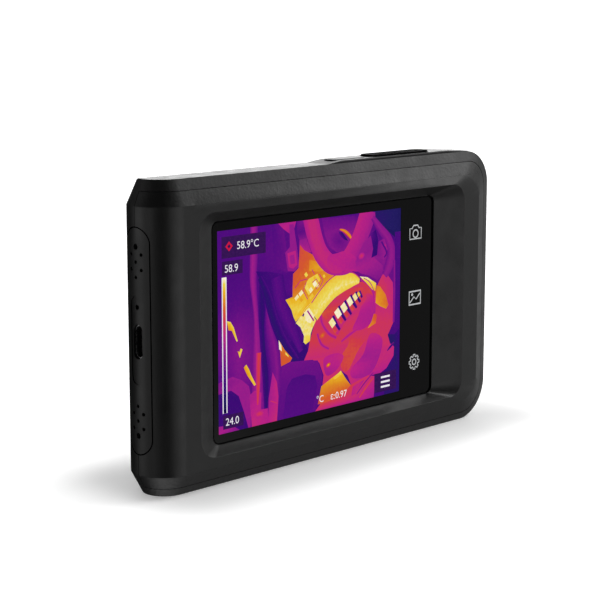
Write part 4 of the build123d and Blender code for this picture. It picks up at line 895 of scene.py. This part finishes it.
def soften(name, node, width, steepest, material):
    """A copy of a CAD node with its long outer edges rounded, which stands for the node."""
    source = bmesh.new()
    source.from_mesh(nodes[node].data)
    bmesh.ops.remove_doubles(source, verts=source.verts, dist=MERGE)
    bmesh.ops.dissolve_limit(source, angle_limit=FLAT, verts=source.verts, edges=source.edges)
    edges = []
    for edge in source.edges:
        if len(edge.link_faces) == 2:
            angle = math.degrees(edge.calc_face_angle(0))
            a, b = (v.co / MM for v in edge.verts)
            if LEAST_ANGLE < angle < steepest and outer_edge(a, b):
                edges.append(edge)
    bmesh.ops.bevel(source, geom=edges, offset=width * MM, offset_type="OFFSET",
                    segments=EDGE_STEPS, profile=0.5, affect="EDGES", clamp_overlap=True)
    bmesh.ops.dissolve_degenerate(source, dist=MERGE, edges=source.edges)
    mesh = bpy.data.meshes.new(name)
    source.to_mesh(mesh)
    source.free()
    mesh.shade_smooth()
    mesh.normals_split_custom_set(even_normals(mesh))
    piece = place_piece(name, mesh, material, nodes[node]["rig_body"])
    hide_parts(node)


soften("front_shell", "front_housing", 0.25, 80, case_plastic)
soften("rear_shell", "rear_housing", 0.3, 75, band_plastic)

# ---- Finishes of the CAD nodes that stay ----
FINISHES = {
    insert_plastic: ("side_insert",),
    trim_plastic: ("button_trim", "lens_bezel", "power_button"),
    key_rubber: ("capture_button",),
    seal_rubber: ("housing_seal", "side_gasket", "lens_seal", "battery_pad", "thermal_pad"),
    cover_glass: ("cover_glass",),
    window_glass: ("camera_window",),
    lamp_glass: ("lamp_lens",),
    germanium: ("front_lens", "rear_lens", "sensor_window"),
    white_plastic: ("display_backlight", "lamp_led"),
    adhesive: ("glass_adhesive",),
    anodised: ("lens_barrel", "lens_ring", "shutter_frame", "shutter_flag"),
    steel: ("display_bracket", "processor_shield", "power_shield", "shutter_motor", "shutter_shaft",
            "speaker_meshes"),
    screw_steel: ("housing_screws", "board_screws", "bracket_screws", "core_screws"),
    usb_steel: ("usb_shell",),
    brass: ("tripod_insert",),
    board: ("main_board", "sensor_board", "camera_board", "button_board"),
    chip_plastic: ("processor", "support_chips", "infrared_sensor", "camera_module", "microphone",
                   "speakers", "tact_switches", "capture_plunger", "power_plunger", "usb_tongue",
                   "display_connector", "flex_connectors", "battery_connector", "lcd_panel"),
    flex_film: ("display_flex", "button_flex", "thermal_flex"),
    foil: ("battery_pack",),
    label_film: ("rating_label",),
}
for material, names in FINISHES.items():
    for name in names:
        node = nodes[name]
        node.data.materials.clear()
        node.data.materials.append(material)

# ---- Camera ----
CAMERA_PLACE = (-0.344328, -0.332886, 0.127635)
CAMERA_AIM = (0.702994, 0.690071, -0.172048)


def add_to_scene(name, data, place, aim):
    """A camera or lamp at a place, looking along aim and level."""
    item = bpy.data.objects.new(name, data)
    scene.collection.objects.link(item)
    item.location = place
    item.rotation_mode = "QUATERNION"
    item.rotation_quaternion = Vector(aim).to_track_quat("-Z", "Y")
    return item


camera = add_to_scene("camera", bpy.data.cameras.new("camera"), CAMERA_PLACE, CAMERA_AIM)
camera.data.sensor_width = 36.0
camera.data.lens = 100.424
camera.data.clip_start, camera.data.clip_end = 0.01, 30
scene.camera = camera

# ---- Studio ----
# A round sweep: a flat floor that curves up into a wall all the way round
FLOOR_RINGS, CORNER_RADIUS, CORNER_STEPS, WALL_TOP = (0.25, 0.6, 1.4), 0.6, 12, 2.2
SIDES = 96
profile = [(r, 0.0) for r in FLOOR_RINGS]
floor_radius = FLOOR_RINGS[-1]
for i in range(1, CORNER_STEPS + 1):
    angle = math.pi / 2 * i / CORNER_STEPS
    profile.append((floor_radius + CORNER_RADIUS * math.sin(angle),
                    CORNER_RADIUS * (1 - math.cos(angle))))
profile.append((floor_radius + CORNER_RADIUS, WALL_TOP))
rim = [(r * math.cos(math.tau * i / SIDES), r * math.sin(math.tau * i / SIDES), z)
       for r, z in profile for i in range(SIDES)]
panels = [tuple(range(SIDES))]
for ring in range(0, SIDES * (len(profile) - 1), SIDES):
    for i in range(SIDES):
        following = (i + 1) % SIDES
        panels.append((ring + i, ring + SIDES + i, ring + SIDES + following, ring + following))
sweep = bpy.data.meshes.new("studio_sweep")
sweep.from_pydata(rim, [], panels)
sweep.shade_smooth()
backdrop = bpy.data.objects.new("studio_sweep", sweep)
scene.collection.objects.link(backdrop)

# White paper that glows less close to the camera's foot, which paints a shadow round the foot
# and keeps the cast shadow short. The foot is (middle, half length) along x and y.
FOOT_X, FOOT_Y = (6 * MM, 63 * MM), (0.0, 12 * MM)
PAPER_GLOW_AND_PAINTED_SHADOW = ((0.0, 0.26), (0.01, 0.36), (0.022, 0.68), (0.045, 1.0))  # (metres away, strength)
paper = Shader("studio_paper", roughness=0.9, specular_ior_level=0.0)
paper.surface.inputs["Emission Color"].default_value = (1, 1, 1, 1)
beyond = []
for along, (middle, half) in zip(paper.axes(), (FOOT_X, FOOT_Y)):
    away = paper.math("ABSOLUTE", paper.math("SUBTRACT", along, middle))
    past = paper.math("MAXIMUM", paper.math("SUBTRACT", away, half), 0.0)
    beyond.append(paper.math("POWER", past, 2.0))
reach = paper.math("SQRT", paper.math("ADD", *beyond))
# Painted shadow: the glow is lowest at the foot and reaches full strength further out
glow = paper.ramp(reach, *[(away, (strength,) * 3) for away, strength in PAPER_GLOW_AND_PAINTED_SHADOW])
paper.feed(paper.surface, "Emission Strength", glow)
paper.colour(paper.mottled(paper.noise(0.2, 3), (0.9,) * 3, (0.92,) * 3))
sweep.materials.append(paper.material)
backdrop.visible_diffuse = False
backdrop.visible_glossy = False
backdrop.visible_transmission = False
backdrop.visible_shadow = False

SOFTBOX_PLACE = (0.25, -0.136, 0.181)
SOFTBOX_AIM = (-0.195, 0.1225, -0.099)
softbox = add_to_scene("studio_softbox", bpy.data.lights.new("studio_softbox", "AREA"),
                       SOFTBOX_PLACE, SOFTBOX_AIM)
softbox.data.shape = "DISK"
softbox.data.size = 0.12
softbox.data.energy = 0.165

world = bpy.data.worlds.new("studio")
scene.world = world
world.use_nodes = True
tree = world.node_tree
direction = tree.nodes.new("ShaderNodeTexCoord").outputs["Generated"]
background_node = tree.nodes["Background"]


def world_math(operation, *values):
    node = tree.nodes.new("ShaderNodeMath")
    node.operation = operation
    for socket, value in enumerate(values):
        if isinstance(value, bpy.types.NodeSocket):
            tree.links.new(value, node.inputs[socket])
        else:
            node.inputs[socket].default_value = value
    return node.outputs[0]


def soft_light(azimuth, elevation, spread, strength):
    """A round soft light on the studio dome, spread in degrees; azimuth 0 is towards -Y."""
    a, e = math.radians(azimuth), math.radians(elevation)
    towards = (math.sin(a) * math.cos(e), -math.cos(a) * math.cos(e), math.sin(e))
    facing = tree.nodes.new("ShaderNodeVectorMath")
    facing.operation = "DOT_PRODUCT"
    tree.links.new(direction, facing.inputs[0])
    facing.inputs[1].default_value = towards
    fade = tree.nodes.new("ShaderNodeMapRange")
    fade.interpolation_type = "SMOOTHSTEP"
    tree.links.new(facing.outputs["Value"], fade.inputs["Value"])
    fade.inputs["From Min"].default_value = math.cos(math.radians(spread))
    fade.inputs["From Max"].default_value = math.cos(math.radians(spread * 0.45))
    fade.inputs["To Max"].default_value = strength
    return fade.outputs[0]


# The studio dome: even light, and soft lights of (azimuth, elevation, spread, strength)
AMBIENT = 0.02
LIGHTS = (
    (70, 40, 20, 2.6), (70, 60, 26, 1.9), (135, 8, 24, 4.4), (48, -8, 30, 0.12),
    (92, -8, 24, 0.65), (72, -12, 14, 0.33), (24, -6, 14, 1.8), (0, -6, 18, 1.1),
    (32, -26, 18, 0.5), (-120, 0, 28, 0.9), (-80, -4, 16, 0.8), (-60, -45, 28, 0.56),
    (60, -45, 30, 0.24), (0, -90, 36, 1.3), (180, 55, 40, 0.5),
)
total = AMBIENT
for light in LIGHTS:
    total = world_math("ADD", soft_light(*light), total)
tree.links.new(total, background_node.inputs["Strength"])
background_node.inputs["Color"].default_value = (1, 1, 1, 1)
scene.view_settings.view_transform = "Standard"
